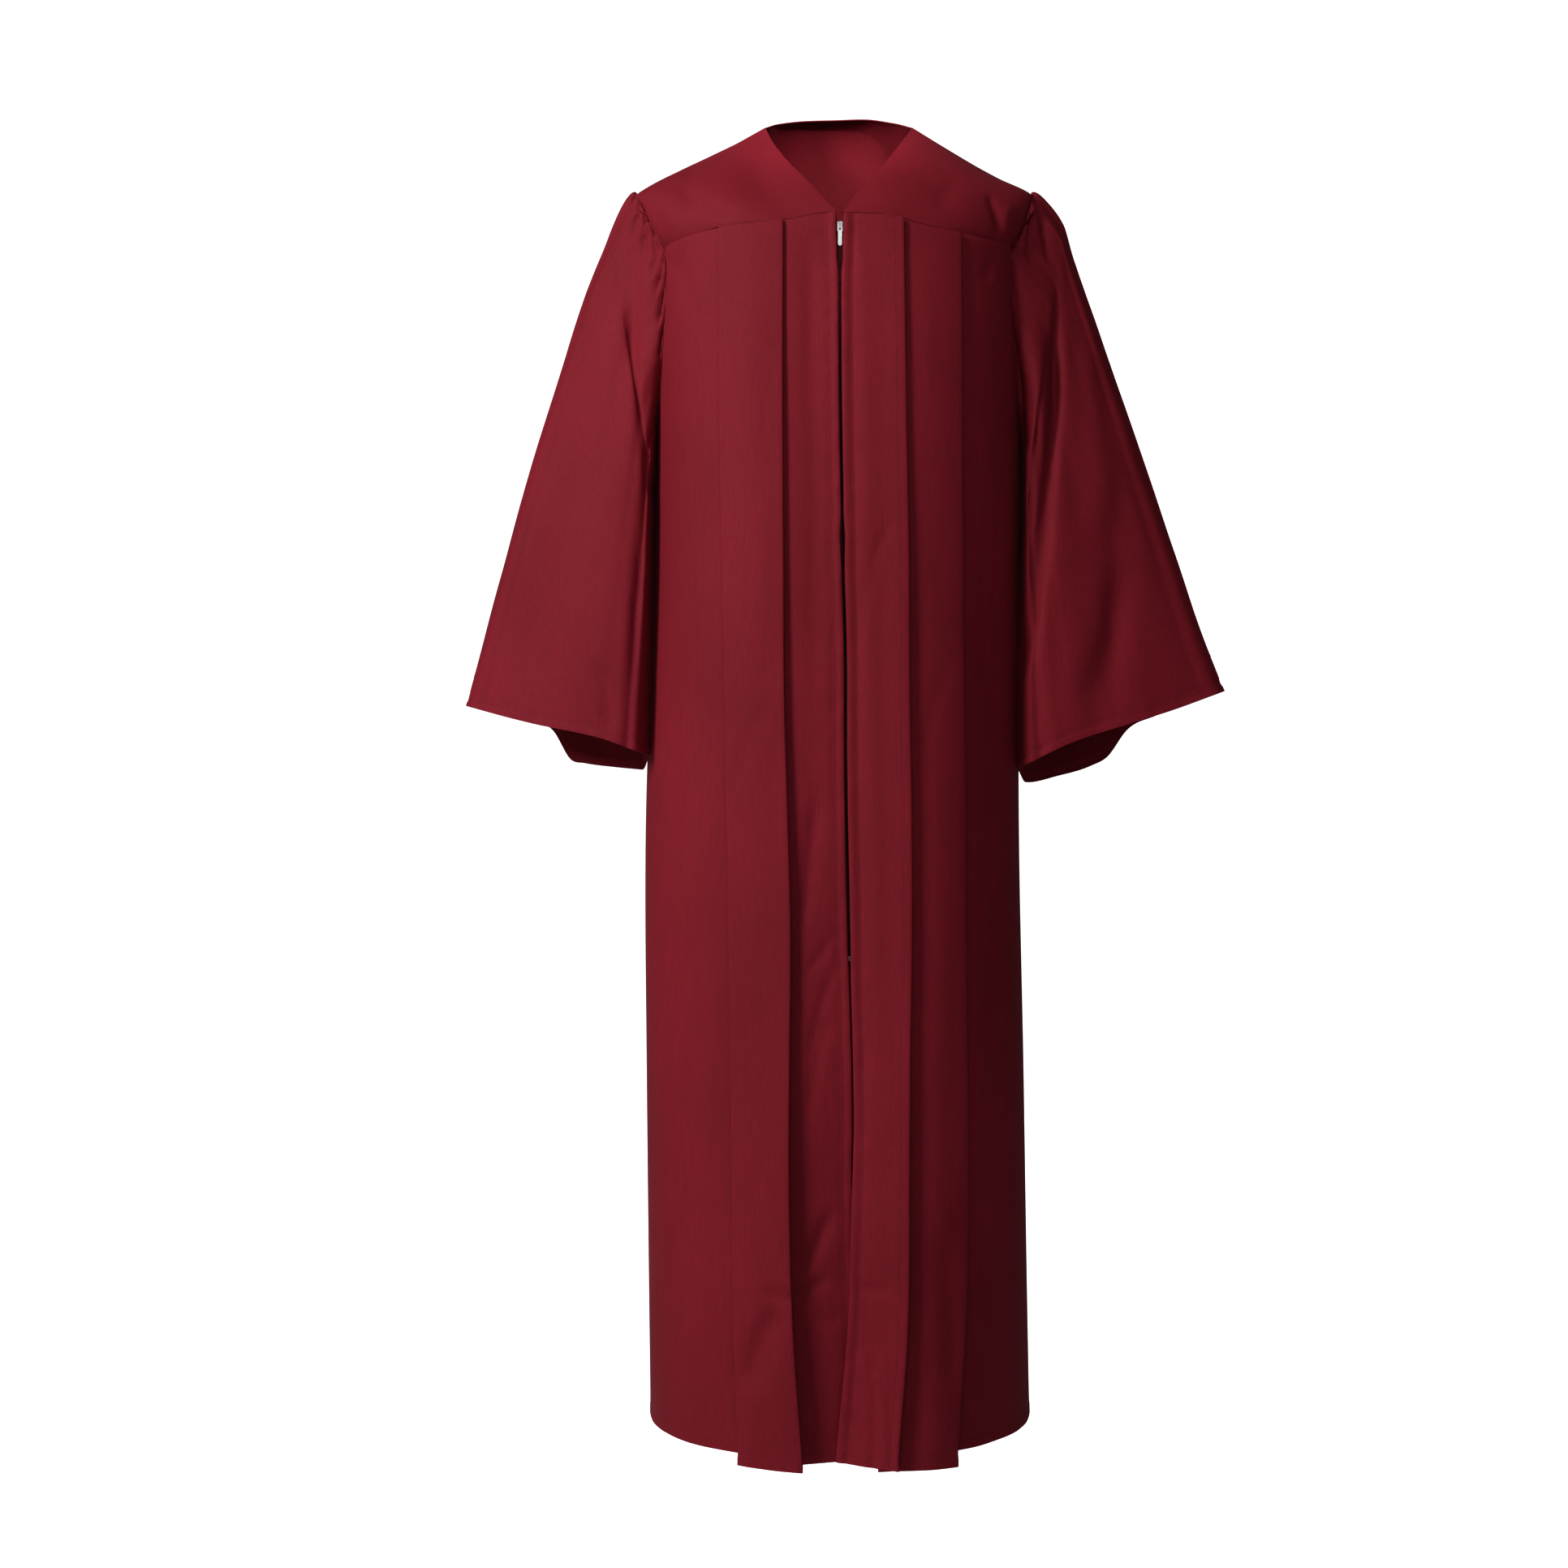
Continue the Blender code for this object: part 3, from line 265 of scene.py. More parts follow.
# How much lower a cuff hangs than a straight line across it, in front and behind
CUFF_DROP = {
    "right": {
        "across": (0.00, 0.30, 0.44, 0.54, 0.62, 0.78, 0.94, 1.00),
        "front": (0.0000, 0.0000, -0.0010, -0.0025, -0.0035, -0.0040, -0.0010, 0.0000),
        "back": (0.0000, 0.0000, 0.0020, 0.0290, 0.0290, 0.0235, 0.0180, 0.0160),
    },
    "left": {
        "across": (0.00, 0.30, 0.44, 0.54, 0.62, 0.78, 0.94, 1.00),
        "front": (0.0000, -0.0010, -0.0030, -0.0045, -0.0060, -0.0065, -0.0020, 0.0000),
        "back": (0.0000, 0.0000, 0.0040, 0.0260, 0.0290, 0.0255, 0.0190, 0.0120),
    },
}
HEAD_CROWDING = 0.10      # brings points closer together at a sleeve's outer edge
SLEEVE_GROWS = 0.10       # share of the sleeve over which it leaves the armhole's shape
GATHERS = 10              # waves round each armhole, deepest at the head of the sleeve
GATHER_HEIGHT = 0.0048
GATHER_REACH = 0.16       # share of the sleeve over which they fade
GATHER_RISE = 0.06        # share of the sleeve over which they come about
GATHERS_END = 1.6         # a higher one carries them further down the armhole's sides

# Long soft troughs down each sleeve: degrees forward of its outer edge at shares of its length,
# depth, and half width in degrees; they fade over their first and last parts
REAR_FOLDS = [
    {"share": (0.02, 0.40, 0.95), "angle": (-48, -56, -62), "depth": 0.0050, "spread": 18},
    {"share": (0.02, 0.50, 1.20), "angle": (-95, -100, -105), "depth": 0.0035, "spread": 16},
]
SLEEVE_FOLDS = {
    "right": [
        {"share": (0.03, 0.08, 0.12, 0.24), "angle": (20, 80, 130, 176), "depth": 0.0045, "spread": 22},
        {"share": (0.45, 0.75, 1.20), "angle": (142, 146, 150), "depth": 0.0035, "spread": 14},
        {"share": (0.30, 0.60, 1.20), "angle": (60, 72, 80), "depth": 0.0020, "spread": 16},
        *REAR_FOLDS,
    ],
    "left": [
        {"share": (0.03, 0.08, 0.17, 0.29, 0.39, 0.58, 0.78),
         "angle": (44, 56, 82, 107, 126, 147, 166), "depth": 0.0078, "spread": 13},
        {"share": (0.50, 0.66, 0.83, 1.15), "angle": (52, 65, 86, 130), "depth": 0.0040, "spread": 14},
        {"share": (0.70, 1.00, 1.30), "angle": (132, 136, 138), "depth": 0.0020, "spread": 12},
        *REAR_FOLDS,
    ],
}
FOLD_FADE = 0.22          # share of a fold's own length over which it fades

# Troughs and ridges of the fronts, in the front view. A crease's columns are its height, its width,
# which ends run into a seam and don't fade, and the points of its path. A wave's columns are its
# cell across and down, its height and its seed.
FRONT_CREASES = [
    (-1.6, 18, "both", (-168, -150), (-170, -420), (-166, -800), (-168, -1352)),
    (1.2, 20, "low", (-100, -700), (-94, -950), (-88, -1352)),
    (-2.4, 8, "none", (-19, -690), (-30, -770), (-38, -850)),
    (-1.5, 4.5, "none", (-5, -840), (-16, -862), (-37, -886)),
    (-1.7, 5, "none", (-1, -868), (-18, -912), (-34, -975)),
    (-1.5, 7, "none", (-6, -905), (-22, -960), (-36, -1040)),
    (-3.2, 7, "none", (-6, -1110), (-22, -1148), (-44, -1184)),
    (-3.4, 6, "none", (-84, -1190), (-50, -1198), (-20, -1186), (-4, -1182)),
    (-1.6, 5, "none", (-30, -1214), (-12, -1224), (4, -1220)),
    (-2.0, 3.6, "none", (12, -1187), (32, -1192), (54, -1189)),
    (-0.5, 3.5, "none", (16, -1240), (36, -1246), (50, -1243)),
    (-5.0, 13, "none", (-52, -1196), (-74, -1236), (-96, -1300)),
    (-1.8, 5, "low", (30, -1240), (34, -1300), (33, -1358)),
    (-1.4, 4, "low", (48, -1270), (50, -1320), (50, -1358)),
    (-0.7, 4, "low", (14, -1262), (15, -1310), (12, -1358)),
    (-2.0, 12, "none", (100, -1120), (108, -1220), (112, -1300)),
    (1.2, 16, "low", (92, -560), (98, -900), (92, -1352)),
    (-1.8, 6, "top", (160, -150), (152, -168), (146, -186)),
    (-2.4, 13, "low", (160, -230), (152, -520), (156, -900), (158, -1352)),
    (2.2, 8, "none", (176, -160), (178, -330), (174, -520)),
    (1.0, 9, "top", (20, -150), (26, -480), (34, -800), (34, -1200)),
    (-1.2, 9, "top", (-30, -150), (-26, -400), (-26, -640)),
    (-1.6, 7, "top", (-176, -152), (-160, -175), (-150, -215)),
    (-0.8, 6, "none", (58, -420), (34, -470), (20, -540)),
    (-0.9, 8, "none", (-64, -600), (-90, -650), (-108, -720)),
    (-0.8, 7, "none", (116, -560), (96, -610), (80, -680)),
]
FRONT_WAVES = [
    (30, 330, 1.0, 21),
    (15, 120, 0.35, 22),
    (45, 60, 0.45, 23),
    (9, 26, 0.10, 24),
]

# The back isn't in the photograph: long soft folds between its flutes, and a few drags
BACK_CREASES = [
    (-2.2, 10, "top", (-150, -150), (-138, -260), (-140, -420)),
    (-1.6, 8, "top", (-60, -150), (-66, -300), (-62, -470)),
    (-1.8, 8, "top", (30, -150), (24, -280), (28, -430)),
    (-2.2, 10, "top", (146, -150), (134, -300), (138, -460)),
    (-1.6, 10, "none", (-110, -560), (-70, -640), (-50, -760)),
    (-1.5, 10, "none", (96, -600), (60, -690), (46, -800)),
    (-0.9, 4, "none", (-120, -1190), (-40, -1196), (30, -1188)),
    (-0.8, 4, "none", (50, -1196), (90, -1190), (130, -1193)),
    (-1.3, 8, "none", (-20, -900), (-36, -980), (-32, -1080)),
]
BACK_WAVES = [
    (34, 300, 1.6, 31),
    (16, 110, 0.45, 32),
    (45, 60, 0.45, 33),
    (9, 26, 0.10, 34),
]

# Soft creases of the front yokes, and how much all yokes waver
YOKE_CREASES = {
    "right": [
        (-2.0, 8, "none", (-150, -42), (-160, -80), (-148, -112)),
        (1.2, 8, "none", (-170, -76), (-178, -100), (-170, -128)),
        (-1.2, 9, "none", (-138, -96), (-126, -112), (-104, -124)),
    ],
    "left": [
        (-2.4, 5, "none", (152, -82), (160, -108), (166, -138)),
        (1.4, 6, "none", (176, -92), (172, -110), (170, -132)),
        (-0.8, 9, "none", (120, -66), (110, -92), (96, -112)),
    ],
}
YOKE_WAVES = {"front": [(38, 30, 0.7, 51)], "back": [(38, 30, 0.7, 52)]}
YOKE_CALM = {"side": 0.08, "seam": 0.12}   # shares of the yoke over which creases fade to an edge

# Where the drape starts below the yoke and beside the zip, and how it fades to the side seams
FRONT_DRAPE = (0.128, 0.175)
BACK_DRAPE = (0.136, 0.190)
BESIDE_ZIP = (0.009, 0.022)
BELOW_ZIP = (0.012, 0.050)
AT_SIDE = 0.02

NOISE_CELLS = 64
FRONT_CELLS = (40, 80)    # where the fronts, the back and the yokes lie in the noise
BACK_CELLS = (30, 60)
YOKE_CELLS = (20, 20)
PUCKER_SEED = 11

# Creases down the sleeves: degrees forward of the outer edge, and share of the length in the
# same units, so that a full length counts as SLEEVE_DEGREES
SLEEVE_DEGREES = 260
SLEEVE_PERCENT = 100      # the waves' down is in hundredths of the length instead
SLEEVE_CREASES = {
    "right": [
        (-2.4, 8, "none", (6, 12), (14, 17), (56, 21), (89, 23), (134, 25), (172, 42)),
        (1.8, 5, "none", (96, 12), (124, 12), (150, 24)),
        (-1.2, 14, "none", (30, 40), (34, 90), (40, 150)),
        (-2.2, 9, "none", (140, 90), (146, 150), (150, 220)),
        (-1.6, 14, "none", (52, 150), (60, 205), (66, 256)),
        (-2.0, 8, "none", (112, 205), (124, 232), (128, 257)),
        (-2.0, 8, "none", (-40, 6), (-46, 70), (-52, 140)),
        (-2.4, 9, "none", (-86, 8), (-92, 80), (-100, 160)),
        (-1.6, 11, "none", (-60, 130), (-64, 200), (-66, 255)),
    ],
    "left": [
        (-5.0, 5, "none", (72, 1), (96, 5), (135, 6), (168, 22)),
        (3.4, 7, "none", (66, 14), (105, 20), (138, 36), (158, 71)),
        (-2.8, 15, "none", (56, 21), (82, 45), (107, 74), (126, 102), (147, 150)),
        (1.8, 14, "none", (40, 60), (60, 110), (78, 160)),
        (-2.0, 11, "none", (60, 172), (86, 215), (115, 250)),
        (-1.4, 14, "none", (24, 120), (28, 190), (30, 250)),
        (-2.0, 8, "none", (-44, 6), (-50, 70), (-54, 150)),
        (-2.4, 9, "none", (-88, 8), (-96, 80), (-104, 160)),
        (-1.6, 11, "none", (-64, 140), (-68, 200), (-70, 255)),
    ],
}
SLEEVE_WAVES = [
    (20, 40, 0.7, 41),
    (9, 16, 0.25, 42),
    (30, 10, 0.3, 43),
]
BODY_SIDE = (3, 20)       # degrees from a sleeve's inner edge over which its creases fade
BODY_SIDE_FROM = (0.05, 0.20)      # share of the sleeve over which that comes about

# The gathers at the head of each sleeve: the degrees where each starts at the seam, how far round
# it runs, and how far down
REAR_GATHERS = [(-16, -26, 14), (-34, -28, 13), (-52, -28, 11), (-72, -28, 8), (-94, -24, 6)]
HEAD_GATHERS = {
    "right": [(3, 12, 12), (17, 30, 16), (30, 32, 15), (43, 31, 13), (54, 30, 11), (65, 33, 9),
              (84, 28, 7), *REAR_GATHERS],
    "left": [(2, 54, 20), (14, 53, 14), (27, 42, 8), (41, 50, 8), (57, 54, 8), (80, 30, 6),
             *REAR_GATHERS],
}
GATHER_DEPTH = 6.5
GATHER_WIDTH = 1.8
GATHER_PUFF = 2.2         # how far the cloth swells just past the seam
GATHER_ROUNDNESS = 1.15   # 2 is a round trough, 1 a sharp one
GATHER_FINE = 1.1         # fine puckers between the gathers, in millimetres
FINE_GATHERS = 46
FINE_WANDER = {"turn": 2.5, "degrees": 24, "seed": 5}
GATHER_FADE = 0.04        # share of the sleeve over which they fade
GATHER_BEND = (0.4, 0.55)          # where a gather bends, as shares of its turn and its run
GATHER_STARTS = 0.008
PUFF_REACH = 0.010
TOP_PART = (140, 60)      # degrees from the top where gathers end, and over which they fade

# Metal and thread of the zip
TOOTH_PITCH = 0.0020
TOOTH_REACH = 0.0013
TOOTH_SIZE = (0.0019, 0.0009, 0.0009)
TOOTH_MESH = 0.0003       # how far teeth reach past the middle between their tapes
BELOW_SLIDER = 0.012      # where the teeth start and end
ABOVE_STOP = 0.009

# The two colours of each finish, and how its noise is scaled and stretched
COLOURS = {
    "burgundy_polyester": ((0.210, 0.0075, 0.0190), (0.240, 0.0098, 0.0235)),
    "zip_tape": ((0.090, 0.006, 0.010), (0.110, 0.008, 0.013)),
    # The stitching thread's colour is partly its own darker burgundy and partly painted shade, standing
    # for the shadow of the puckers along its lines
    "burgundy_thread_painted_shade": ((0.120, 0.006, 0.011), (0.190, 0.010, 0.018)),
    # The coil's near-black colour is partly its own dark burgundy and partly painted shade, standing for
    # the shadow in the zip's narrow gap
    "zip_coil_painted_shade": ((0.020, 0.006, 0.008), (0.045, 0.008, 0.011)),
    "nickel": ((0.28, 0.27, 0.27), (0.48, 0.47, 0.46)),
    "dark_nickel": ((0.12, 0.11, 0.11), (0.24, 0.22, 0.22)),
    "pale_floor": ((0.56, 0.56, 0.56), (0.60, 0.60, 0.60)),
    "threads": ((0.86, 0.86, 0.86), (1.0, 1.0, 1.0)),
}
NOISES = {
    "clouds": {"scale": 9.0, "stretch": (1.0, 1.0, 0.5)},
    "warp": {"scale": 1.0, "stretch": (900.0, 900.0, 26.0)},
    "weft": {"scale": 1.0, "stretch": (60.0, 60.0, 1100.0)},
    "wear": {"scale": 600.0, "stretch": (1.0, 1.0, 0.3), "detail": 4.0},
    "twist": {"scale": 1500.0, "stretch": (1.0, 1.0, 1.0)},
    "grain": {"scale": 3.0, "stretch": (1.0, 1.0, 1.0)},
}
COLOUR_CHANGES = (0.35, 0.65)      # heights of the noise between which one colour gives way
WEAVE_STRENGTH = 0.25
WEAVE_DISTANCE = 0.0002
CLOTH_FINISH = {"Roughness": 0.78, "Specular IOR Level": 0.30, "Sheen Roughness": 0.45,
                "Sheen Tint": (1.0, 0.55, 0.55, 1.0)}
CLOTH_SHEEN = 0.02
TAPE_SHEEN = 0.10
NICKEL_ROUGHNESS = 0.36
DARK_NICKEL_ROUGHNESS = 0.30
WORN_ROUGHNESS = (0.7, 1.4)        # shares of it where the metal is smoothest and roughest
THREAD_FINISH = {"Roughness": 0.55}
FLOOR_FINISH = {"Roughness": 0.9, "Emission Color": (1.0, 1.0, 1.0, 1.0)}

# Where the camera stood, and the width and middle of what it saw at the robe's middle plane
CAMERA_PLACE = Vector((0.0, -2.4, -0.695))
FRAME_WIDTH = 1.6615
FRAME_CENTRE_X = -0.0593
FLOOR = -1.50
FLOOR_HALF = 8.0

# Lights: where each stands and aims, the size of its face, its power, and its spread in degrees
WORLD_LIGHT = 0.06
LIGHTS = {
    "key": {"at": (-2.55, -2.10, 1.25), "aim": (0.0, 0.0, -0.70), "size": (0.9, 1.5), "power": 98.0},
    "fill": {"at": (1.2, -3.2, -0.2), "aim": (0.0, 0.0, -0.7), "size": (1.6, 2.0), "power": 1.0},
    "top": {"at": (0.0, -2.4, 1.3), "aim": (0.0, 0.0, -0.30), "size": (1.0, 0.8), "power": 16.0},
    "neck": {"at": (0.35, -1.2, 0.75), "aim": (-0.02, 0.05, -0.01), "size": (0.12, 0.06),
             "power": 0.08, "spread": 12},
    "back": {"at": (-0.7, 3.6, 0.5), "aim": (0.0, 0.0, -0.6), "size": (1.6, 1.6), "power": 30.0},
}


# The form of each piece, as its solid has it

def curve(table, column, at):
    """The column's value at a height, x or share, on a smooth curve through the table's rows."""
    knots = np.array(next(iter(table.values())), float)
    values = np.array(table[column], float)
    if knots[0] > knots[-1]:
        knots, values = knots[::-1], values[::-1]
    slopes = np.gradient(values, knots)
    at = np.clip(np.asarray(at, float), knots[0], knots[-1])
    k = np.clip(np.searchsorted(knots, at, side="right") - 1, 0, len(knots) - 2)
    width = knots[k + 1] - knots[k]
    t = (at - knots[k]) / width
    rise = values[k + 1] - values[k]
    return (values[k] + t * width * slopes[k]
            + t * t * (3 * rise - width * (2 * slopes[k] + slopes[k + 1]))
            + t ** 3 * (width * (slopes[k] + slopes[k + 1]) - 2 * rise))


def lengths_along(points):
    """Distance from the first of the points, measured from each to the next."""
    steps = np.linalg.norm(np.diff(points, axis=0), axis=-1)
    return np.concatenate([np.zeros_like(steps[:1]), np.cumsum(steps, axis=0)])


def along(table, share):
    """Points on the table's x, y, z rows, with share running evenly over the rows' distances."""
    names = [name for name in ("x", "y", "z") if name in table]
    points = np.array([table[name] for name in names], float).T
    reach = lengths_along(points)
    placed = {name: curve({"share": reach / reach[-1], name: points[:, k]}, name, share)
              for k, name in enumerate(names)}
    flat = np.zeros_like(np.asarray(share, float))
    return np.stack([placed.get(name, flat) for name in ("x", "y", "z")], axis=-1)


def smooth_step(value, low, high):
    """Rises softly from 0 at low to 1 at high."""
    share = np.clip((value - low) / (high - low), 0, 1)
    return share * share * (3 - 2 * share)


def unit(vectors):
    return vectors / np.maximum(np.linalg.norm(vectors, axis=-1, keepdims=True), 1e-12)


def sign_of(side):
    return -1.0 if side == "right" else 1.0


def body_point(side, y_share, z):
    """x where the body's cross-section lies y_share of its depth in front of its middle."""
    across = curve(BODY, side, z)
    return sign_of(side) * across * (1 - np.clip(y_share, 0, 1) ** ROUNDNESS) ** (1 / ROUNDNESS)


def depth_at(side, x, z, end="front"):
    """How far in front of or behind the middle the body's cross-section lies at x."""
    across = np.minimum(np.abs(x) / curve(BODY, side, z), 1.0)
    return curve(BODY, end, z) * (1 - across ** ROUNDNESS) ** (1 / ROUNDNESS)


def armhole_depth(z):
    """Half the armhole's depth at a height, nothing below the underarm."""
    share = (z - ARMHOLE_MIDDLE) / ARMHOLE_REACH
    return ARMHOLE_HALF_DEPTH * np.sqrt(np.clip(1 - share ** 2, 0, 1))


def armhole_x(side, z):
    """x of the armhole seam at a height: on the body, then out along the yoke to the shoulder."""
    corner = ARMHOLE["height"][0]
    on_body = body_point(side, armhole_depth(z) / curve(BODY, "front", z), z)
    on_yoke = sign_of(side) * curve(ARMHOLE, side, z)
    share = np.clip((z - corner + ARMHOLE_EASE) / ARMHOLE_EASE, 0, 1)
    return on_body + (on_yoke - on_body) * share


def side_angle(z, end):
    """Angle on the cross-section where a panel starts: at its armhole, or at the side seam."""
    y = np.maximum(armhole_depth(z), SEAM_GAP / 2)
    return np.arcsin(np.clip(y / curve(BODY, end, z), 0, 1) ** (ROUNDNESS / 2))


def forward(values, z):
    """A value given at the yoke and at the hem, for a height between them."""
    share = np.clip((TOP_OF_FRONTS - z) / (TOP_OF_FRONTS - HEM), 0, 1)
    return values[0] + (values[1] - values[0]) * share


def turn_edge(turn, z):
    """x of a turn, z being an array of heights."""
    return curve(PLEATS, turn["edge"], z) + turn["past"]


def middle_edge(side, z):
    """x of the front's middle edge."""
    return curve(MIDDLE, side + "_edge", z) + sign_of(side) * np.interp(
        -z, -np.array(ZIP_OPENING["height"]), ZIP_OPENING["half"])


def middle_forward(side, z):
    """How far forward of the body the middle edge stands; the lower right edge lies under."""
    stands = forward((MIDDLE_FORWARD["top"], MIDDLE_FORWARD["low"]), z)
    if side == "left":
        return stands
    return stands - np.interp(-z, -np.array(LAP_DEPTH["height"]), LAP_DEPTH["deeper"])


def half_turn(share, x, ahead, behind, facing):
    """A half circle from one layer to the next at a fold; facing is the side it bulges to."""
    swing = math.pi * share
    radius = np.abs(ahead - behind) / 2
    return (x - facing * radius * (1 - np.sin(swing)),
            (ahead + behind) / 2 + (ahead - behind) / 2 * np.cos(swing))


def front_blocks(side):
    """The runs and turns of a front from its side to its middle.

    Each is a count of columns, the hem's heights at its ends, and a function of (share, z) that
    gives x and how far forward of the body that is.
    """
    sign = sign_of(side)
    turns = RIGHT_FRONT_TURNS if side == "right" else LEFT_FRONT_TURNS
    blocks = []

    def outer(share, z):
        start = side_angle(z, "front")
        across = np.abs(curve(PLEATS, turns[0]["edge"], z)) / curve(BODY, side, z)
        stop = np.arccos(np.clip(across, 0, 1) ** (ROUNDNESS / 2))
        angle = start + (stop - start) * share
        x = sign * curve(BODY, side, z) * np.cos(angle) ** (2 / ROUNDNESS)
        return x, np.zeros_like(x)

    blocks.append((SIDE_COLUMNS, SIDE_HEM, outer))
    last_x = lambda z: curve(PLEATS, turns[0]["edge"], z)
    last_forward = np.zeros_like
    last_hem = turns[0]["hem"]
    for number, turn in enumerate(turns):
        arrive = lambda z, turn=turn: forward((turn["top"][0], turn["low"][0]), z)
        leave = lambda z, turn=turn: forward((turn["top"][1], turn["low"][1]), z)
        edge = lambda z, turn=turn: turn_edge(turn, z)
        facing = -sign if number % 2 == 0 else sign

        def run(share, z, x0=last_x, f0=last_forward, x1=edge, f1=arrive, facing=facing):
            stop = x1(z) - facing * FOLD_RADIUS
            start = x0(z)
            return start + (stop - start) * share, f0(z) + (f1(z) - f0(z)) * share

        def fold(share, z, x=edge, f0=arrive, f1=leave, facing=facing):
            return half_turn(share, x(z), f0(z), f1(z), facing)

        blocks.append((turn["columns"], (last_hem, turn["hem"]), run))
        blocks.append((FOLD_COLUMNS, (turn["hem"], turn["hem"]), fold))
        last_x = lambda z, edge=edge, facing=facing: edge(z) - facing * FOLD_RADIUS
        last_forward = leave
        last_hem = turn["hem"]

    def face(share, z, x0=last_x, f0=last_forward):
        stop = middle_edge(side, z) + sign * FOLD_RADIUS
        x = x0(z) + (stop - x0(z)) * share
        lip = LIP * np.clip(1 - np.abs(x - stop) / FACING, 0, 1)
        base = f0(z) + (middle_forward(side, z) - f0(z)) * share
        return x, base + lip

    def middle_turn(share, z):
        stands = middle_forward(side, z) + LIP
        return half_turn(share, middle_edge(side, z), stands, stands - 2 * FOLD_RADIUS, -sign)

    def turned_back(share, z):
        x = middle_edge(side, z) + sign * (FOLD_RADIUS + FACING * share)
        lip = LIP * np.clip(1 - share, 0, 1)
        return x, middle_forward(side, z) + lip - 2 * FOLD_RADIUS

    blocks.append((FACE_COLUMNS, (last_hem, MIDDLE_HEM), face))
    blocks.append((FOLD_COLUMNS, (MIDDLE_HEM, MIDDLE_HEM), middle_turn))
    blocks.append((FACING_COLUMNS, (MIDDLE_HEM, MIDDLE_HEM), turned_back))
    return blocks


def row_shares(rows):
    """Shares of a panel's length at its rows, closer together near the yoke."""
    return np.linspace(0, 1, rows + 1) ** ROW_CROWDING


def front_grid(side, rows):
    """Middle surface of a front as columns by rows of points."""
    down = row_shares(rows)[None, :]
    columns = []
    for count, hems, form in front_blocks(side):
        count = count * FINENESS
        first = 1 if columns else 0
        share = (np.arange(first, count + 1) / count)[:, None]
        top_x = form(share, np.full_like(share, TOP_OF_FRONTS))[0]
        top = curve(YOKE_SEAM, "height", top_x)
        hem = hems[0] + (hems[1] - hems[0]) * share
        z = top + (hem - top) * down
        x, ahead = form(share + np.zeros_like(z), z)
        y = np.minimum(-depth_at(side, x, z) - ahead, -SEAM_GAP / 2)
        columns.append(np.stack([x, y, z], axis=-1))
    return np.concatenate(columns)


def seam_point(side, x):
    """A point of the yoke's front seam, on the outer faces of the fronts below."""
    z = curve(YOKE_SEAM, "height", x)
    ahead = curve(YOKE_FORWARD, side, np.abs(x))
    return np.stack([x, -depth_at(side, x, z) - ahead, z], axis=-1)


def armhole_point(side, z, end):
    """A point of the armhole seam, in front or behind."""
    way = -1.0 if end == "front" else 1.0
    return np.stack([armhole_x(side, z), way * armhole_depth(z), z], axis=-1)


def patch(first, last, top, low):
    """A four-sided surface from its edges, round like a shoulder from its top edge to its low one.

    first and last are points down its two sides; top and low are points across.
    """
    u = np.linspace(0, 1, len(top))[:, None, None]
    v = np.linspace(0, 1, len(first))
    round_over = np.stack([v, np.sin(math.pi / 2 * v), 1 - np.cos(math.pi / 2 * v)], axis=-1)[None]
    rounded = top[:, None] + (low - top)[:, None] * round_over
    return rounded + (1 - u) * (first[None] - rounded[:1]) + u * (last[None] - rounded[-1:])


def yoke_armhole_height(v):
    """Heights down the yoke's armhole edge, v from the shoulder point to the corner."""
    corner = ARMHOLE["height"][0]
    return SHOULDER_POINT + (corner - SHOULDER_POINT) * (1 - np.cos(math.pi / 2 * v))


def part_seams(grid, way):
    """Draws a yoke's edges back from its shoulder line, in direction way, and its lower seam."""
    v = np.linspace(0, 1, grid.shape[1])[None, :]
    grid[..., 1] += way * (SEAM_GAP / 2 + SEAM_SLOPE) * (1 - v) ** SEAM_FADE
    grid[..., 2] += (SEAM_GAP + SEAM_SLOPE) * v ** SEAM_FADE
    return grid


def yoke_front_grid(side, columns, rows):
    """Middle surface of a front yoke, neck edge to armhole by shoulder to seam."""
    u = np.linspace(0, 1, columns + 1)
    v = np.linspace(0, 1, rows + 1)
    neck = along(NECK_RIGHT if side == "right" else NECK_LEFT, v)
    shoulder = along(SHOULDER_RIGHT if side == "right" else SHOULDER_LEFT, u)
    armhole = armhole_point(side, yoke_armhole_height(v), "front")
    seam = seam_point(side, neck[-1, 0] + (armhole[-1, 0] - neck[-1, 0]) * u)
    return part_seams(patch(neck, armhole, shoulder, seam), -1.0)


def yoke_back_grid(columns, rows):
    """Middle surface of the back yoke, from the wearer's right armhole to the left one."""
    shares = np.linspace(-1, 1, columns + 1)
    v = np.linspace(0, 1, rows + 1)
    top = np.array([yoke_back_top(share) for share in shares])
    right, left = (armhole_point(side, yoke_armhole_height(v), "back")
                   for side in ("right", "left"))
    seam_x = np.where(shares < 0, -shares * right[-1, 0], shares * left[-1, 0])
    seam_z = np.full_like(seam_x, ARMHOLE["height"][0])
    seam_y = np.where(shares < 0, depth_at("right", seam_x, seam_z, "back"),
                      depth_at("left", seam_x, seam_z, "back"))
    seam = np.stack([seam_x, seam_y, seam_z], axis=-1)
    return part_seams(patch(right, left, top, seam), 1.0)


def yoke_back_top(share):
    """The back yoke's upper edge: shoulder, neck and shoulder, share being -1 to 1."""
    if share < -NECK_SHARE:
        return along(SHOULDER_RIGHT, (-share - NECK_SHARE) / (1 - NECK_SHARE))
    if share > NECK_SHARE:
        return along(SHOULDER_LEFT, (share - NECK_SHARE) / (1 - NECK_SHARE))
    return along(NECK_BACK, (share / NECK_SHARE + 1) / 2)


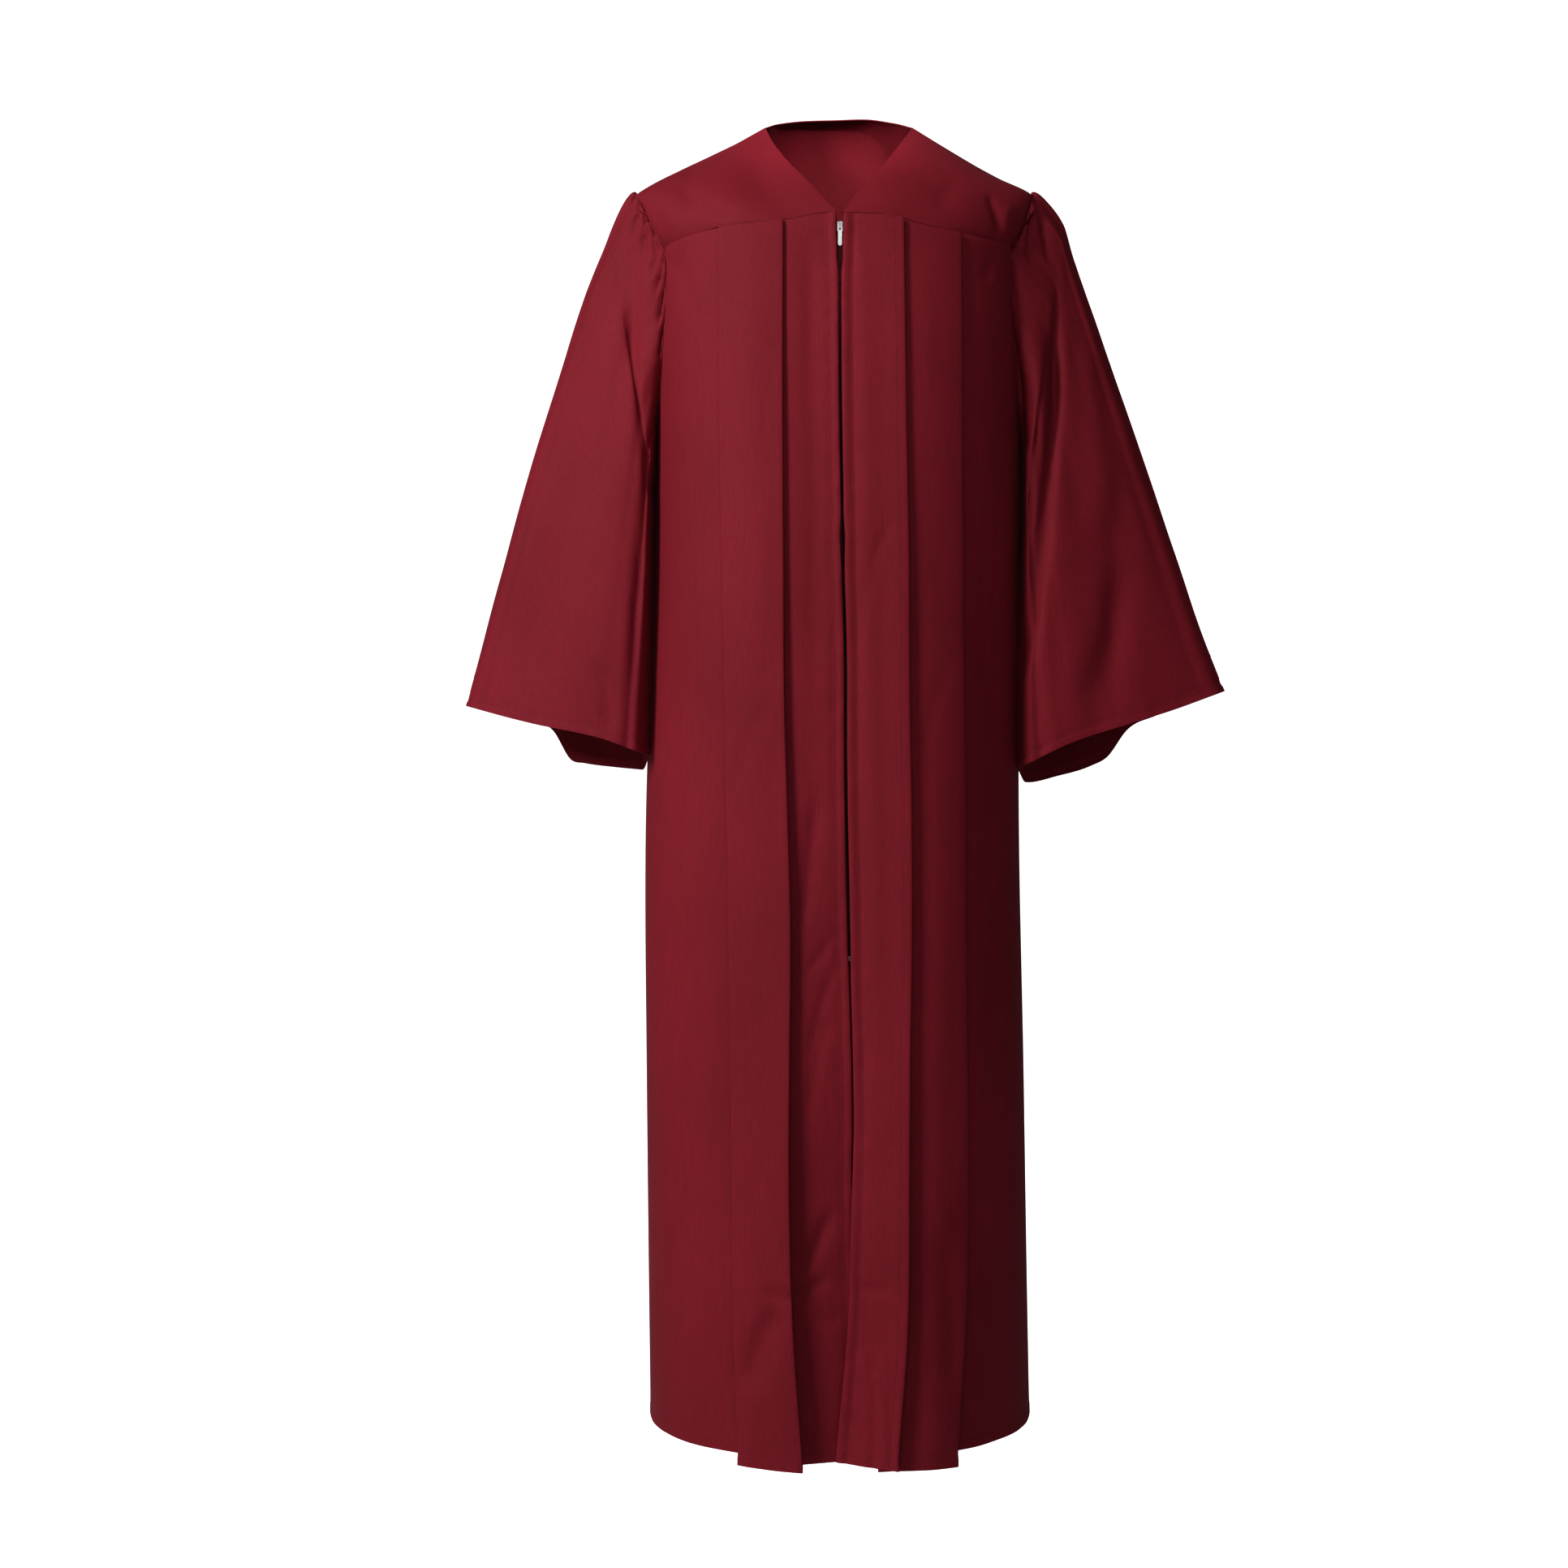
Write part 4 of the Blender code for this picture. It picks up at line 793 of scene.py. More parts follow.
def back_grid(rows, columns):
    """Middle surface of the back, from the wearer's right side seam to the left one."""
    share = np.linspace(0, 1, columns + 1)[:, None]
    down = row_shares(rows)[None, :]
    top = ARMHOLE["height"][0]
    z = top + (BACK_HEM - top) * down + np.zeros_like(share)
    start = side_angle(z, "back")
    angle = start + (math.pi - 2 * start) * share
    right, left = (curve(BODY, side, z) for side in ("right", "left"))
    across = np.where(angle < math.pi / 2, right, left)
    cosine = np.cos(angle)
    x = -np.sign(cosine) * across * np.abs(cosine) ** (2 / ROUNDNESS)
    y = curve(BODY, "back", z) * np.sin(angle) ** (2 / ROUNDNESS)
    height = forward((BACK_FLUTE_TOP, BACK_FLUTE_HEM), z)
    height = height * np.sin(math.pi * share) ** BACK_FLUTE_FADE
    flute = height * (1 - np.cos(2 * math.pi * BACK_FLUTES * share)) / 2
    return np.stack([x, np.maximum(y + flute, SEAM_GAP / 2), z], axis=-1)


def sleeve_places(points, rings):
    """Angles round a ring, from the outer edge forward and crowded there, and shares down."""
    turn = (np.arange(points) / points)[:, None]
    angle = 2 * math.pi * (turn - HEAD_CROWDING * np.sin(2 * math.pi * turn))
    return angle, (np.linspace(0, 1, rings + 1) ** RING_CROWDING)[None, :]


def sleeve_grid(side, rings, points):
    """Middle surface of a sleeve, points round by rings down, from the armhole to the cuff."""
    sign = sign_of(side)
    table = SLEEVE_RIGHT if side == "right" else SLEEVE_LEFT
    angle, s = sleeve_places(points, rings)

    outer = np.stack([curve(table, "x", s), curve(SLEEVE_FORM, "outer_y", s),
                      curve(table, "z", s)], -1)
    inner_z = UNDERARM - BELOW_UNDERARM + (CUFF_INNER[side] - UNDERARM) * s
    inner_y = curve(SLEEVE_FORM, "inner_y", s)
    inner_x = body_point(side, -inner_y / curve(BODY, "front", inner_z), inner_z)
    clear = SLEEVE_CLEARANCE * np.clip(s / CLEARANCE_GROWS, CLEARANCE_AT_SEAM, 1)
    inner = np.stack([inner_x + sign * clear, inner_y - clear * s, inner_z], -1)

    across = (1 - np.cos(angle)) / 2
    forward_side = np.sin(angle) > 0
    in_front, behind = (curve(SLEEVE_FORM, end, s) * curve(SLEEVE_ACROSS, end, across)
                        for end in ("front", "back"))
    depth = np.where(forward_side, in_front, -behind)
    tube = outer + (inner - outer) * across[..., None]
    tube[..., 1] -= depth
    cuff = CUFF_DROP[side]
    at_back = curve(cuff, "back", across) * smooth_step(1 - across, 0, INNER_CORNER)
    drop = np.where(forward_side, curve(cuff, "front", across), at_back)
    tube[..., 2] -= drop * smooth_step(s, CUFF_DROP_FROM, 1.0)

    # The first ring is the armhole seam itself, and the tube grows out of it
    seam_z = ARMHOLE_MIDDLE + ARMHOLE_REACH * np.cos(angle)
    seam_y = -ARMHOLE_HALF_DEPTH * np.sin(angle)
    apart = SEAM_GAP + SEAM_SLOPE * (1 + UNDERARM_GAP * (1 - np.cos(angle)))
    seam = np.stack([armhole_x(side, seam_z) + sign * apart, seam_y, seam_z], axis=-1)
    ease = smooth_step(s, 0, SLEEVE_GROWS)[..., None]
    points_at = seam + (tube - seam) * ease

    from_top = (angle + math.pi) % (2 * math.pi) - math.pi
    wave = np.cos(GATHERS * from_top) * np.clip(np.cos(from_top / GATHERS_END), 0, 1)
    fade = np.sin(math.pi * np.clip(s / GATHER_RISE, 0, 1) / 2) * np.exp(-s / GATHER_REACH)
    outward = unit(points_at - (outer + inner) / 2)
    rise = GATHER_HEIGHT * wave * fade
    for fold in SLEEVE_FOLDS[side]:
        centre = np.radians(np.interp(s, fold["share"], fold["angle"]))
        off = (angle - centre + math.pi) % (2 * math.pi) - math.pi
        first, last = fold["share"][0], fold["share"][-1]
        fade = FOLD_FADE * (last - first)
        reach = smooth_step(s, first, first + fade) * smooth_step(last - s, 0, fade)
        rise = rise - fold["depth"] * reach * np.exp(-(off / np.radians(fold["spread"])) ** 2)
    return points_at + outward * rise[..., None]


def tape_points(side, inset, z):
    """Places on a zip's tape, behind the turned-back edge and inset from the zip's line."""
    x = curve(MIDDLE, side + "_edge", z) + sign_of(side) * inset
    behind = 2 * FOLD_RADIUS + (CLOTH + TAPE) / 2 + SEAM_GAP
    y = -depth_at(side, x, z) - middle_forward("left", z) + behind
    return np.stack([x, y, z + np.zeros_like(x)], axis=-1)


def tape_grid(side, rows):
    """Middle surface of a zip tape."""
    seam = float(curve(YOKE_SEAM, "height", np.array(0.0)))
    z = seam + (MIDDLE_HEM - seam) * row_shares(rows)
    z = np.concatenate([[ZIP_TOP], z[(z < ZIP_TOP) & (z > ZIP_BOTTOM)], [ZIP_BOTTOM]])[None, :]
    return tape_points(side, np.array(TAPE_INSETS)[:, None], z)


# The fine surface

def soft_noise(a, b, seed):
    """Smooth noise between -1 and 1 over two coordinates counted in cells."""
    values = np.random.default_rng(seed).uniform(-1, 1, (NOISE_CELLS, NOISE_CELLS))
    i, j = np.floor(a).astype(int), np.floor(b).astype(int)
    s, t = smooth_step(a - i, 0, 1), smooth_step(b - j, 0, 1)

    def corner(m, n):
        return values[(i + m) % NOISE_CELLS, (j + n) % NOISE_CELLS]

    near = corner(0, 0) * (1 - s) + corner(1, 0) * s
    far = corner(0, 1) * (1 - s) + corner(1, 1) * s
    return near * (1 - t) + far * t


def crease_rise(a, b, crease, roundness=2):
    """How far one crease raises the cloth at a, b; its path and width are in the same units."""
    height, width, seams, *path = crease
    path = np.array(path, float)
    lengths = lengths_along(path)
    nearest = np.full(a.shape, np.inf)
    share = np.zeros(a.shape)
    for k, (here, step) in enumerate(zip(path, np.diff(path, axis=0))):
        t = np.clip(((a - here[0]) * step[0] + (b - here[1]) * step[1]) / (step @ step), 0, 1)
        off = np.hypot(a - here[0] - t * step[0], b - here[1] - t * step[1])
        along_path = (lengths[k] + t * (lengths[k + 1] - lengths[k])) / lengths[-1]
        share = np.where(off < nearest, along_path, share)
        nearest = np.minimum(off, nearest)
    starts = 1.0 if seams in ("top", "both") else smooth_step(share, 0, CREASE_FADE)
    ends = 1.0 if seams in ("low", "both") else smooth_step(1 - share, 0, CREASE_FADE)
    return height * starts * ends * np.exp(-(nearest / width) ** roundness)


def beside_side(points, width):
    """0 at the side seams, rising softly to 1 over a width."""
    return smooth_step(curve(BODY, "right", points[..., 2]) - np.abs(points[..., 0]), 0.0, width)


def wrinkles(points, creases, waves, cells):
    """How far creases and waves over the front view move the cloth, in metres."""
    x, z = points[..., 0] / MM, points[..., 2] / MM
    rise = np.zeros(x.shape)
    for crease in creases:
        rise = rise + crease_rise(x, z, crease)
    for across, down, height, seed in waves:
        rise = rise + height * soft_noise(x / across + cells[0], z / down + cells[1], seed)
    return rise * MM


def front_relief(points):
    """Forward drape of both fronts, the same for every layer at one place."""
    down = -points[..., 2]
    beside_zip = np.abs(points[..., 0] - curve(MIDDLE, "right_edge", points[..., 2]))
    calm = np.maximum(smooth_step(beside_zip, *BESIDE_ZIP), smooth_step(down + ZIP_BOTTOM, *BELOW_ZIP))
    calm = calm * smooth_step(down, *FRONT_DRAPE) * beside_side(points, AT_SIDE)
    return wrinkles(points, FRONT_CREASES, FRONT_WAVES, FRONT_CELLS) * calm


def back_relief(points):
    calm = smooth_step(-points[..., 2], *BACK_DRAPE) * beside_side(points, AT_SIDE)
    return wrinkles(points, BACK_CREASES, BACK_WAVES, BACK_CELLS) * calm


def yoke_relief(points, creases, waves):
    u = np.linspace(0, 1, points.shape[0])[:, None]
    v = np.linspace(0, 1, points.shape[1])[None, :]
    calm = 1.0
    for share, fade in ((u, YOKE_CALM["side"]), (v, YOKE_CALM["seam"])):
        calm = calm * smooth_step(share, 0, fade) * smooth_step(1 - share, 0, fade)
    return wrinkles(points, creases, waves, YOKE_CELLS) * calm


def sleeve_relief(points, side):
    """Creases of a sleeve over degrees round it from its outer edge forward and share down it."""
    count, rings = points.shape[:2]
    angle, share = np.broadcast_arrays(*sleeve_places(count, rings - 1))
    degrees = np.degrees(angle)
    down = share * SLEEVE_DEGREES
    rise = np.zeros(degrees.shape)
    for crease in SLEEVE_CREASES[side]:
        for shift in (-360, 0, 360):
            rise = rise + crease_rise(degrees + shift, down, crease)
    for across, down_cell, height, seed in SLEEVE_WAVES:
        periods = round(360 / across)
        a, b = degrees / 360 * periods % periods, share * SLEEVE_PERCENT / down_cell
        rise = rise + height * soft_noise(a, b, seed)

    wander = soft_noise(degrees / FINE_WANDER["degrees"], share, FINE_WANDER["seed"])
    head = GATHER_FINE * np.cos(angle * FINE_GATHERS + FINE_WANDER["turn"] * wander)
    from_top = (degrees + 180) % 360 - 180
    ends, fades = TOP_PART
    top_part = smooth_step(ends - np.abs(from_top), 0, fades)
    puff = GATHER_PUFF * (1 - np.exp(-share / PUFF_REACH))
    rise = rise + (head + puff) * top_part * np.exp(-share / GATHER_FADE)
    for first, turns, runs in HEAD_GATHERS[side]:
        bend = (first + GATHER_BEND[0] * turns, GATHER_BEND[1] * runs)
        gather = (-GATHER_DEPTH, GATHER_WIDTH, "top", (first, 0), bend, (first + turns, runs))
        rise = rise + crease_rise(from_top, down, gather, GATHER_ROUNDNESS)
    at_body = smooth_step(180 - np.abs(from_top), *BODY_SIDE)
    calm = 1 - (1 - at_body) * smooth_step(share, *BODY_SIDE_FROM)
    return rise * MM * calm * smooth_step(share, 0.0, GATHER_STARTS)


# Meshes from grids

def directions(grid, axis, wraps):
    points = np.moveaxis(grid, axis, 0)
    if wraps:
        ahead = unit(np.roll(points, -1, axis=0) - points)
        behind = np.roll(ahead, 1, axis=0)
    else:
        steps = unit(np.diff(points, axis=0))
        ahead = np.concatenate([steps, steps[-1:]])
        behind = np.concatenate([steps[:1], steps])
    total = ahead + behind
    return np.moveaxis(unit(total), 0, axis), np.moveaxis(np.linalg.norm(total, axis=-1) / 2, 0, axis)


def normals_of(grid, closed=False):
    """Unit normals of a grid, and how much its bends stretch an offset there."""
    across, bend_across = directions(grid, 0, closed)
    down, bend_down = directions(grid, 1, False)
    return unit(np.cross(across, down)), 1 / np.clip(bend_across * bend_down, LEAST_BEND, 1)


def outward_of(grid, closed=False):
    """Unit normals that point away from the middle of the garment or of the sleeve."""
    normal = normals_of(grid, closed)[0]
    middle = grid.mean(axis=0, keepdims=True) if closed else np.zeros(3)
    away = grid - middle
    away[..., 2] = 0.0
    facing = np.sign((normal * away).sum())
    return normal * facing


def new_mesh(name, points, quads, material):
    mesh = bpy.data.meshes.new(name)
    mesh.vertices.add(len(points))
    mesh.vertices.foreach_set("co", np.ascontiguousarray(points, dtype=np.float32).ravel())
    mesh.loops.add(quads.size)
    mesh.loops.foreach_set("vertex_index", np.ascontiguousarray(quads, dtype=np.int32).ravel())
    mesh.polygons.add(len(quads))
    mesh.polygons.foreach_set("loop_start", np.arange(0, quads.size, 4, dtype=np.int32))
    mesh.update(calc_edges=True)
    mesh.shade_smooth()
    mesh.materials.append(material)
    piece = bpy.data.objects.new(name, mesh)
    bpy.context.scene.collection.objects.link(piece)
    return piece


def shell(name, grid, thickness, material, closed=False):
    """A closed thin wall on both sides of a grid of points."""
    normal, stretch = normals_of(grid, closed)
    offset = normal * (thickness / 2 * stretch)[..., None]
    columns, rows = grid.shape[:2]
    number = np.arange(columns * rows).reshape(columns, rows)
    back = columns * rows
    one, two = (number, np.roll(number, -1, axis=0)) if closed else (number[:-1], number[1:])
    walls = np.stack([one[:, :-1], two[:, :-1], two[:, 1:], one[:, 1:]], -1).reshape(-1, 4)
    top = np.stack([two[:, 0], one[:, 0], one[:, 0] + back, two[:, 0] + back], -1)
    low = np.stack([one[:, -1], two[:, -1], two[:, -1] + back, one[:, -1] + back], -1)
    faces = [walls, walls[:, ::-1] + back, top, low]
    if not closed:
        first, last = number[0], number[-1]
        faces.append(np.stack([first[:-1], first[1:], first[1:] + back, first[:-1] + back], -1))
        faces.append(np.stack([last[1:], last[:-1], last[:-1] + back, last[1:] + back], -1))
    points = np.concatenate([(grid + offset).reshape(-1, 3), (grid - offset).reshape(-1, 3)])
    piece = new_mesh(name, points, np.concatenate(faces), material)
    piece.data.set_sharp_from_angle(angle=math.radians(SHARP_FROM))
    return piece


def from_edge(grid, axis, start, way):
    """Columns or rows of a grid in order from one of them, and their points' distances from it."""
    points = np.moveaxis(grid, axis, 0)
    order = np.arange(start, -1 if way < 0 else len(points), way)
    return order, lengths_along(points[order])


def over_grid(grid, axis, order, values):
    """Values at some columns or rows as a rise over the whole grid, with none elsewhere."""
    rise = np.zeros(grid.shape[:2])
    np.moveaxis(rise, axis, 0)[order] = values
    return rise


def line_beside(grid, outward, axis, start, way, distance):
    """Points at a distance from a column or row of a grid, and the normals there."""
    order, reach = from_edge(grid, axis, start, way)
    k = np.clip((reach < distance).sum(axis=0) - 1, 0, len(order) - 2)
    item = np.arange(reach.shape[1])
    t = (distance - reach[k, item]) / np.maximum(reach[k + 1, item] - reach[k, item], 1e-9)
    t = t[:, None]

    def between(values):
        rows = np.moveaxis(values, axis, 0)[order]
        return rows[k, item] * (1 - t) + rows[k + 1, item] * t

    return between(grid), unit(between(outward))


def stitches(name, line, material):
    """A row of thread on a line over the cloth, each stitch a bar with pointed ends."""
    points, outward = line
    length = STITCH_PITCH * STITCH_SHARE
    reach = lengths_along(points)
    starts = np.arange(STITCH_PITCH / 2, reach[-1] - length, STITCH_PITCH)

    def at(values, where):
        return np.stack([np.interp(where, reach, values[:, k]) for k in range(3)], -1)

    a, b = at(points, starts), at(points, starts + length)
    up = unit(at(outward, starts + length / 2))
    forth = unit(b - a)
    beside = unit(np.cross(up, forth))
    up = np.cross(forth, beside)
    corners = []
    for share, size in STITCH_FORM:
        lift = STITCH_LIFT if size == 1.0 else -STITCH_LIFT
        centre = a + (b - a) * share + up * (SHELL / 2 + STITCH_RADIUS * lift)
        for way, tall in ((1, 0), (0, 1), (-1, 0), (0, -1)):
            corners.append(centre + (beside * way + up * tall) * STITCH_RADIUS * size)
    bar = [[ring * 4 + k, ring * 4 + (k + 1) % 4, ring * 4 + 4 + (k + 1) % 4, ring * 4 + 4 + k]
           for ring in range(3) for k in range(4)]
    bar += [[3, 2, 1, 0], [12, 13, 14, 15]]
    return many(name, corners, bar, material)


def many(name, corners, faces, material):
    """One mesh of many small bodies with the same faces, from each corner's place on all of them."""
    points = np.stack(corners, axis=1)
    count, size = points.shape[:2]
    quads = np.array(faces)[None] + (np.arange(count) * size)[:, None, None]
    return new_mesh(name, points.reshape(-1, 3), quads.reshape(-1, 4), material)


def edge_dip(grid, axis, start, way, depth):
    """A soft step down towards a sewn edge, as a rise over the whole grid."""
    order, reach = from_edge(grid, axis, start, way)
    return over_grid(grid, axis, order, -depth * np.exp(-(reach / DIP_WIDTH) ** 2))


def stitch_dent(grid, axis, start, way, distance, raised):
    """Cloth doubled up to a stitch line: raised below it, dented along it and a little puckered."""
    order, reach = from_edge(grid, axis, start, way)
    run = lengths_along(np.moveaxis(grid, axis, 0)[start])[None, :] + np.zeros_like(reach)
    doubled = raised * smooth_step(distance + RAISED_STEP - reach, 0, RAISED_STEP)
    dent = -DENT * np.exp(-((reach - distance) / DENT_WIDTH) ** 2)
    pucker = PUCKER * soft_noise(run / PUCKER_LENGTH, reach / PUCKER_REACH, PUCKER_SEED)
    pucker = pucker * np.exp(-((reach - distance) / PUCKER_WIDTH) ** 2)
    return over_grid(grid, axis, order, doubled + dent + pucker)


def place(piece, *nodes, body="garment", slot="cloth"):
    """Every piece rides on a body, and cloth also stands for its solid; the slot is not used."""
    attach(piece, body)
    if nodes:
        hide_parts(*nodes)
    return piece


# Finishes

def new_material(name, finish):
    """A material with the shader's own sockets set from a finish."""
    material = bpy.data.materials.new(name)
    material.use_nodes = True
    nodes = material.node_tree.nodes
    shader = nodes["Principled BSDF"]
    for socket, value in finish.items():
        shader.inputs[socket].default_value = value
    return material, nodes, material.node_tree.links, shader


def noise_node(nodes, links, scale, stretch, detail=2.0):
    """Noise over the object's own coordinates, stretched along its axes."""
    where = nodes.new("ShaderNodeTexCoord")
    mapping = nodes.new("ShaderNodeMapping")
    mapping.inputs["Scale"].default_value = stretch
    noise = nodes.new("ShaderNodeTexNoise")
    noise.inputs["Scale"].default_value = scale
    noise.inputs["Detail"].default_value = detail
    links.new(where.outputs["Object"], mapping.inputs["Vector"])
    links.new(mapping.outputs["Vector"], noise.inputs["Vector"])
    return noise


def colour_between(nodes, links, noise, dark, bright):
    ramp = nodes.new("ShaderNodeValToRGB")
    first, last = ramp.color_ramp.elements
    first.position, last.position = COLOUR_CHANGES
    first.color = (*dark, 1.0)
    last.color = (*bright, 1.0)
    links.new(noise.outputs["Fac"], ramp.inputs["Fac"])
    return ramp.outputs["Color"]


def cloth_material(name, sheen):
    """Plain-woven polyester: long warp slubs, fine weft, faint cloudiness and a soft sheen."""
    material, nodes, links, shader = new_material(name, {**CLOTH_FINISH, "Sheen Weight": sheen})
    clouds, warp, weft = (noise_node(nodes, links, **NOISES[kind]) for kind in ("clouds", "warp", "weft"))
    threads = nodes.new("ShaderNodeMath")
    threads.operation = "ADD"
    links.new(warp.outputs["Fac"], threads.inputs[0])
    links.new(weft.outputs["Fac"], threads.inputs[1])
    mix = nodes.new("ShaderNodeMix")
    mix.data_type = "RGBA"
    mix.blend_type = "MULTIPLY"
    mix.inputs["Factor"].default_value = 1.0
    links.new(colour_between(nodes, links, clouds, *COLOURS[name]), mix.inputs["A"])
    links.new(colour_between(nodes, links, warp, *COLOURS["threads"]), mix.inputs["B"])
    links.new(mix.outputs["Result"], shader.inputs["Base Color"])
    bump = nodes.new("ShaderNodeBump")
    bump.inputs["Strength"].default_value = WEAVE_STRENGTH
    bump.inputs["Distance"].default_value = WEAVE_DISTANCE
    links.new(threads.outputs["Value"], bump.inputs["Height"])
    links.new(bump.outputs["Normal"], shader.inputs["Normal"])
    return material


def metal_material(name, roughness):
    """Worn nickel: small scratches in its roughness and a little darkening."""
    material, nodes, links, shader = new_material(name, {"Metallic": 1.0})
    wear = noise_node(nodes, links, **NOISES["wear"])
    links.new(colour_between(nodes, links, wear, *COLOURS[name]), shader.inputs["Base Color"])
    rough = nodes.new("ShaderNodeMapRange")
    rough.inputs["To Min"].default_value = roughness * WORN_ROUGHNESS[0]
    rough.inputs["To Max"].default_value = roughness * WORN_ROUGHNESS[1]
    links.new(wear.outputs["Fac"], rough.inputs["Value"])
    links.new(rough.outputs["Result"], shader.inputs["Roughness"])
    return material


def thread_material(name):
    material, nodes, links, shader = new_material(name, THREAD_FINISH)
    twist = noise_node(nodes, links, **NOISES["twist"])
    links.new(colour_between(nodes, links, twist, *COLOURS[name]), shader.inputs["Base Color"])
    return material


# Pieces

def front_columns(side):
    """The columns where a front's face beside the zip and its middle turn start."""
    counts = [count * FINENESS for count, _, _ in front_blocks(side)]
    return sum(counts[:-3]), sum(counts[:-2])


def make_front(side, cloth):
    """A front's cloth; gives its grid, its outward normals and its columns beside the zip."""
    rows = FRONT_ROWS * FINENESS
    grid = front_grid(side, rows)
    grid[..., 1] -= front_relief(grid)
    face_start, middle_fold = front_columns(side)
    outward = outward_of(grid)
    if outward[face_start + 1, rows // 2, 1] > 0:
        outward = -outward
    rise = edge_dip(grid, 1, 0, 1, DEEPER_DIP)
    hem = stitch_dent(grid, 1, rows, -1, HEM_TURN, HEM_RAISED)
    placket = stitch_dent(grid, 0, middle_fold, -1, TOPSTITCH, PLACKET_RAISED)
    hem[middle_fold:] = 0.0
    grid = grid + outward * (rise + hem + placket)[..., None]

    piece = shell("robe_front_" + side, grid, SHELL, cloth)
    place(piece, "front_" + side)
    return grid, outward, face_start, middle_fold


def sew_front(side, grid, outward, face_start, middle_fold, thread):
    """The stitch lines of a front: beside the zip, along the hem, and on the left one beside its inner
    pleat.
    """
    points, normals = line_beside(grid, outward, 0, middle_fold, -1, TOPSTITCH)
    place(stitches("stitches_zip_" + side, (points[1:], normals[1:]), thread))
    points, normals = line_beside(grid, outward, 1, grid.shape[1] - 1, -1, HEM_TURN)
    place(stitches("stitches_hem_" + side, (points[:middle_fold], normals[:middle_fold]), thread))
    if side == "left":
        points, normals = line_beside(grid, outward, 0, face_start, 1, TOPSTITCH)
        place(stitches("stitches_pleat_" + side, (points[1:], normals[1:]), thread))


def make_yokes(cloth):
    columns, rows = YOKE_FRONT_COLUMNS * FINENESS, YOKE_ROWS * FINENESS
    for side in ("right", "left"):
        grid = yoke_front_grid(side, columns, rows)
        outward = outward_of(grid)
        rise = yoke_relief(grid, YOKE_CREASES[side], YOKE_WAVES["front"])
        rise += edge_dip(grid, 1, rows, -1, SEAM_DIP)
        rise += edge_dip(grid, 0, columns, -1, DEEPER_DIP)
        piece = shell("robe_yoke_front_" + side, grid + outward * rise[..., None], SHELL, cloth)
        place(piece, "yoke_front_" + side)
    grid = yoke_back_grid(YOKE_BACK_COLUMNS * FINENESS, rows)
    outward = outward_of(grid)
    rise = yoke_relief(grid, [], YOKE_WAVES["back"]) + edge_dip(grid, 1, rows, -1, SEAM_DIP)
    piece = shell("robe_yoke_back", grid + outward * rise[..., None], SHELL, cloth)
    place(piece, "yoke_back")


def make_back(cloth, thread):
    """The back; its top edge stands out to the yoke's and goes up behind it."""
    columns, rows = BACK_COLUMNS * FINENESS, BACK_ROWS * FINENESS
    grid = back_grid(rows, columns)
    below_seam = grid[:, :1, 2] - grid[..., 2]
    to_yoke = 1 - smooth_step(below_seam, 0, BACK_TO_YOKE_FADE)
    grid[..., 1] += BACK_TO_YOKE * to_yoke * beside_side(grid, BACK_TO_YOKE_SIDE)
    outward = outward_of(grid)
    rise = back_relief(grid) + edge_dip(grid, 1, 0, 1, BACK_TOP_DIP)
    rise += edge_dip(grid, 0, 0, 1, DEEPER_DIP) + edge_dip(grid, 0, columns, -1, DEEPER_DIP)
    rise += stitch_dent(grid, 1, rows, -1, HEM_TURN, HEM_RAISED)
    grid = grid + outward * rise[..., None]
    grid[:, 0, 2] += SEAM_TUCK
    piece = shell("robe_back", grid, SHELL, cloth)
    place(piece, "back")
    line = line_beside(grid, outward, 1, rows, -1, HEM_TURN)
    place(stitches("stitches_hem_back", line, thread))


def make_sleeve(side, cloth, thread):
    rings, points = SLEEVE_RINGS * FINENESS, SLEEVE_POINTS * FINENESS
    grid = sleeve_grid(side, rings, points)
    outward = outward_of(grid, closed=True)
    rise = sleeve_relief(grid, side) + edge_dip(grid, 1, 0, 1, SEAM_DIP)
    rise += stitch_dent(grid, 1, rings, -1, HEM_TURN, HEM_RAISED)
    grid = grid + outward * rise[..., None]
    piece = shell("robe_sleeve_" + side, grid, SHELL, cloth, closed=True)
    place(piece, "sleeve_" + side)
    line = line_beside(grid, outward, 1, rings, -1, HEM_TURN)
    place(stitches("stitches_cuff_" + side, line, thread))


def make_zip(tape, coil):
    """Both tapes, and the two rows of coil that mesh between them."""
    for side in ("right", "left"):
        grid = tape_grid(side, TAPE_ROWS * FINENESS)
        grid[..., 1] -= front_relief(grid)
        piece = shell("robe_zip_tape_" + side, grid, TAPE, tape)
        place(piece, "zip_tape_" + side, slot="zip_tape")
    faces = [[3, 2, 1, 0], [4, 5, 6, 7], [0, 1, 5, 4], [1, 2, 6, 5], [2, 3, 7, 6], [3, 0, 4, 7]]
    for side in ("right", "left"):
        shift = 0.0 if side == "right" else TOOTH_PITCH / 2
        z = np.arange(SLIDER_HEIGHT - BELOW_SLIDER, ZIP_BOTTOM + ABOVE_STOP, -TOOTH_PITCH) - shift
        middle = tape_points(side, TOOTH_REACH - TOOTH_SIZE[0] / 2 + TOOTH_MESH, z)
        middle[..., 1] -= front_relief(middle)
        corners = [middle + np.array(TOOTH_SIZE) / 2 * (dx, dy, dz) for dz in (-1, 1)
                   for dx, dy in ((-1, -1), (1, -1), (1, 1), (-1, 1))]
        place(many("zip_coil_painted_shade_" + side, corners, faces, coil), slot="zip_tape")


# Camera, light and floor

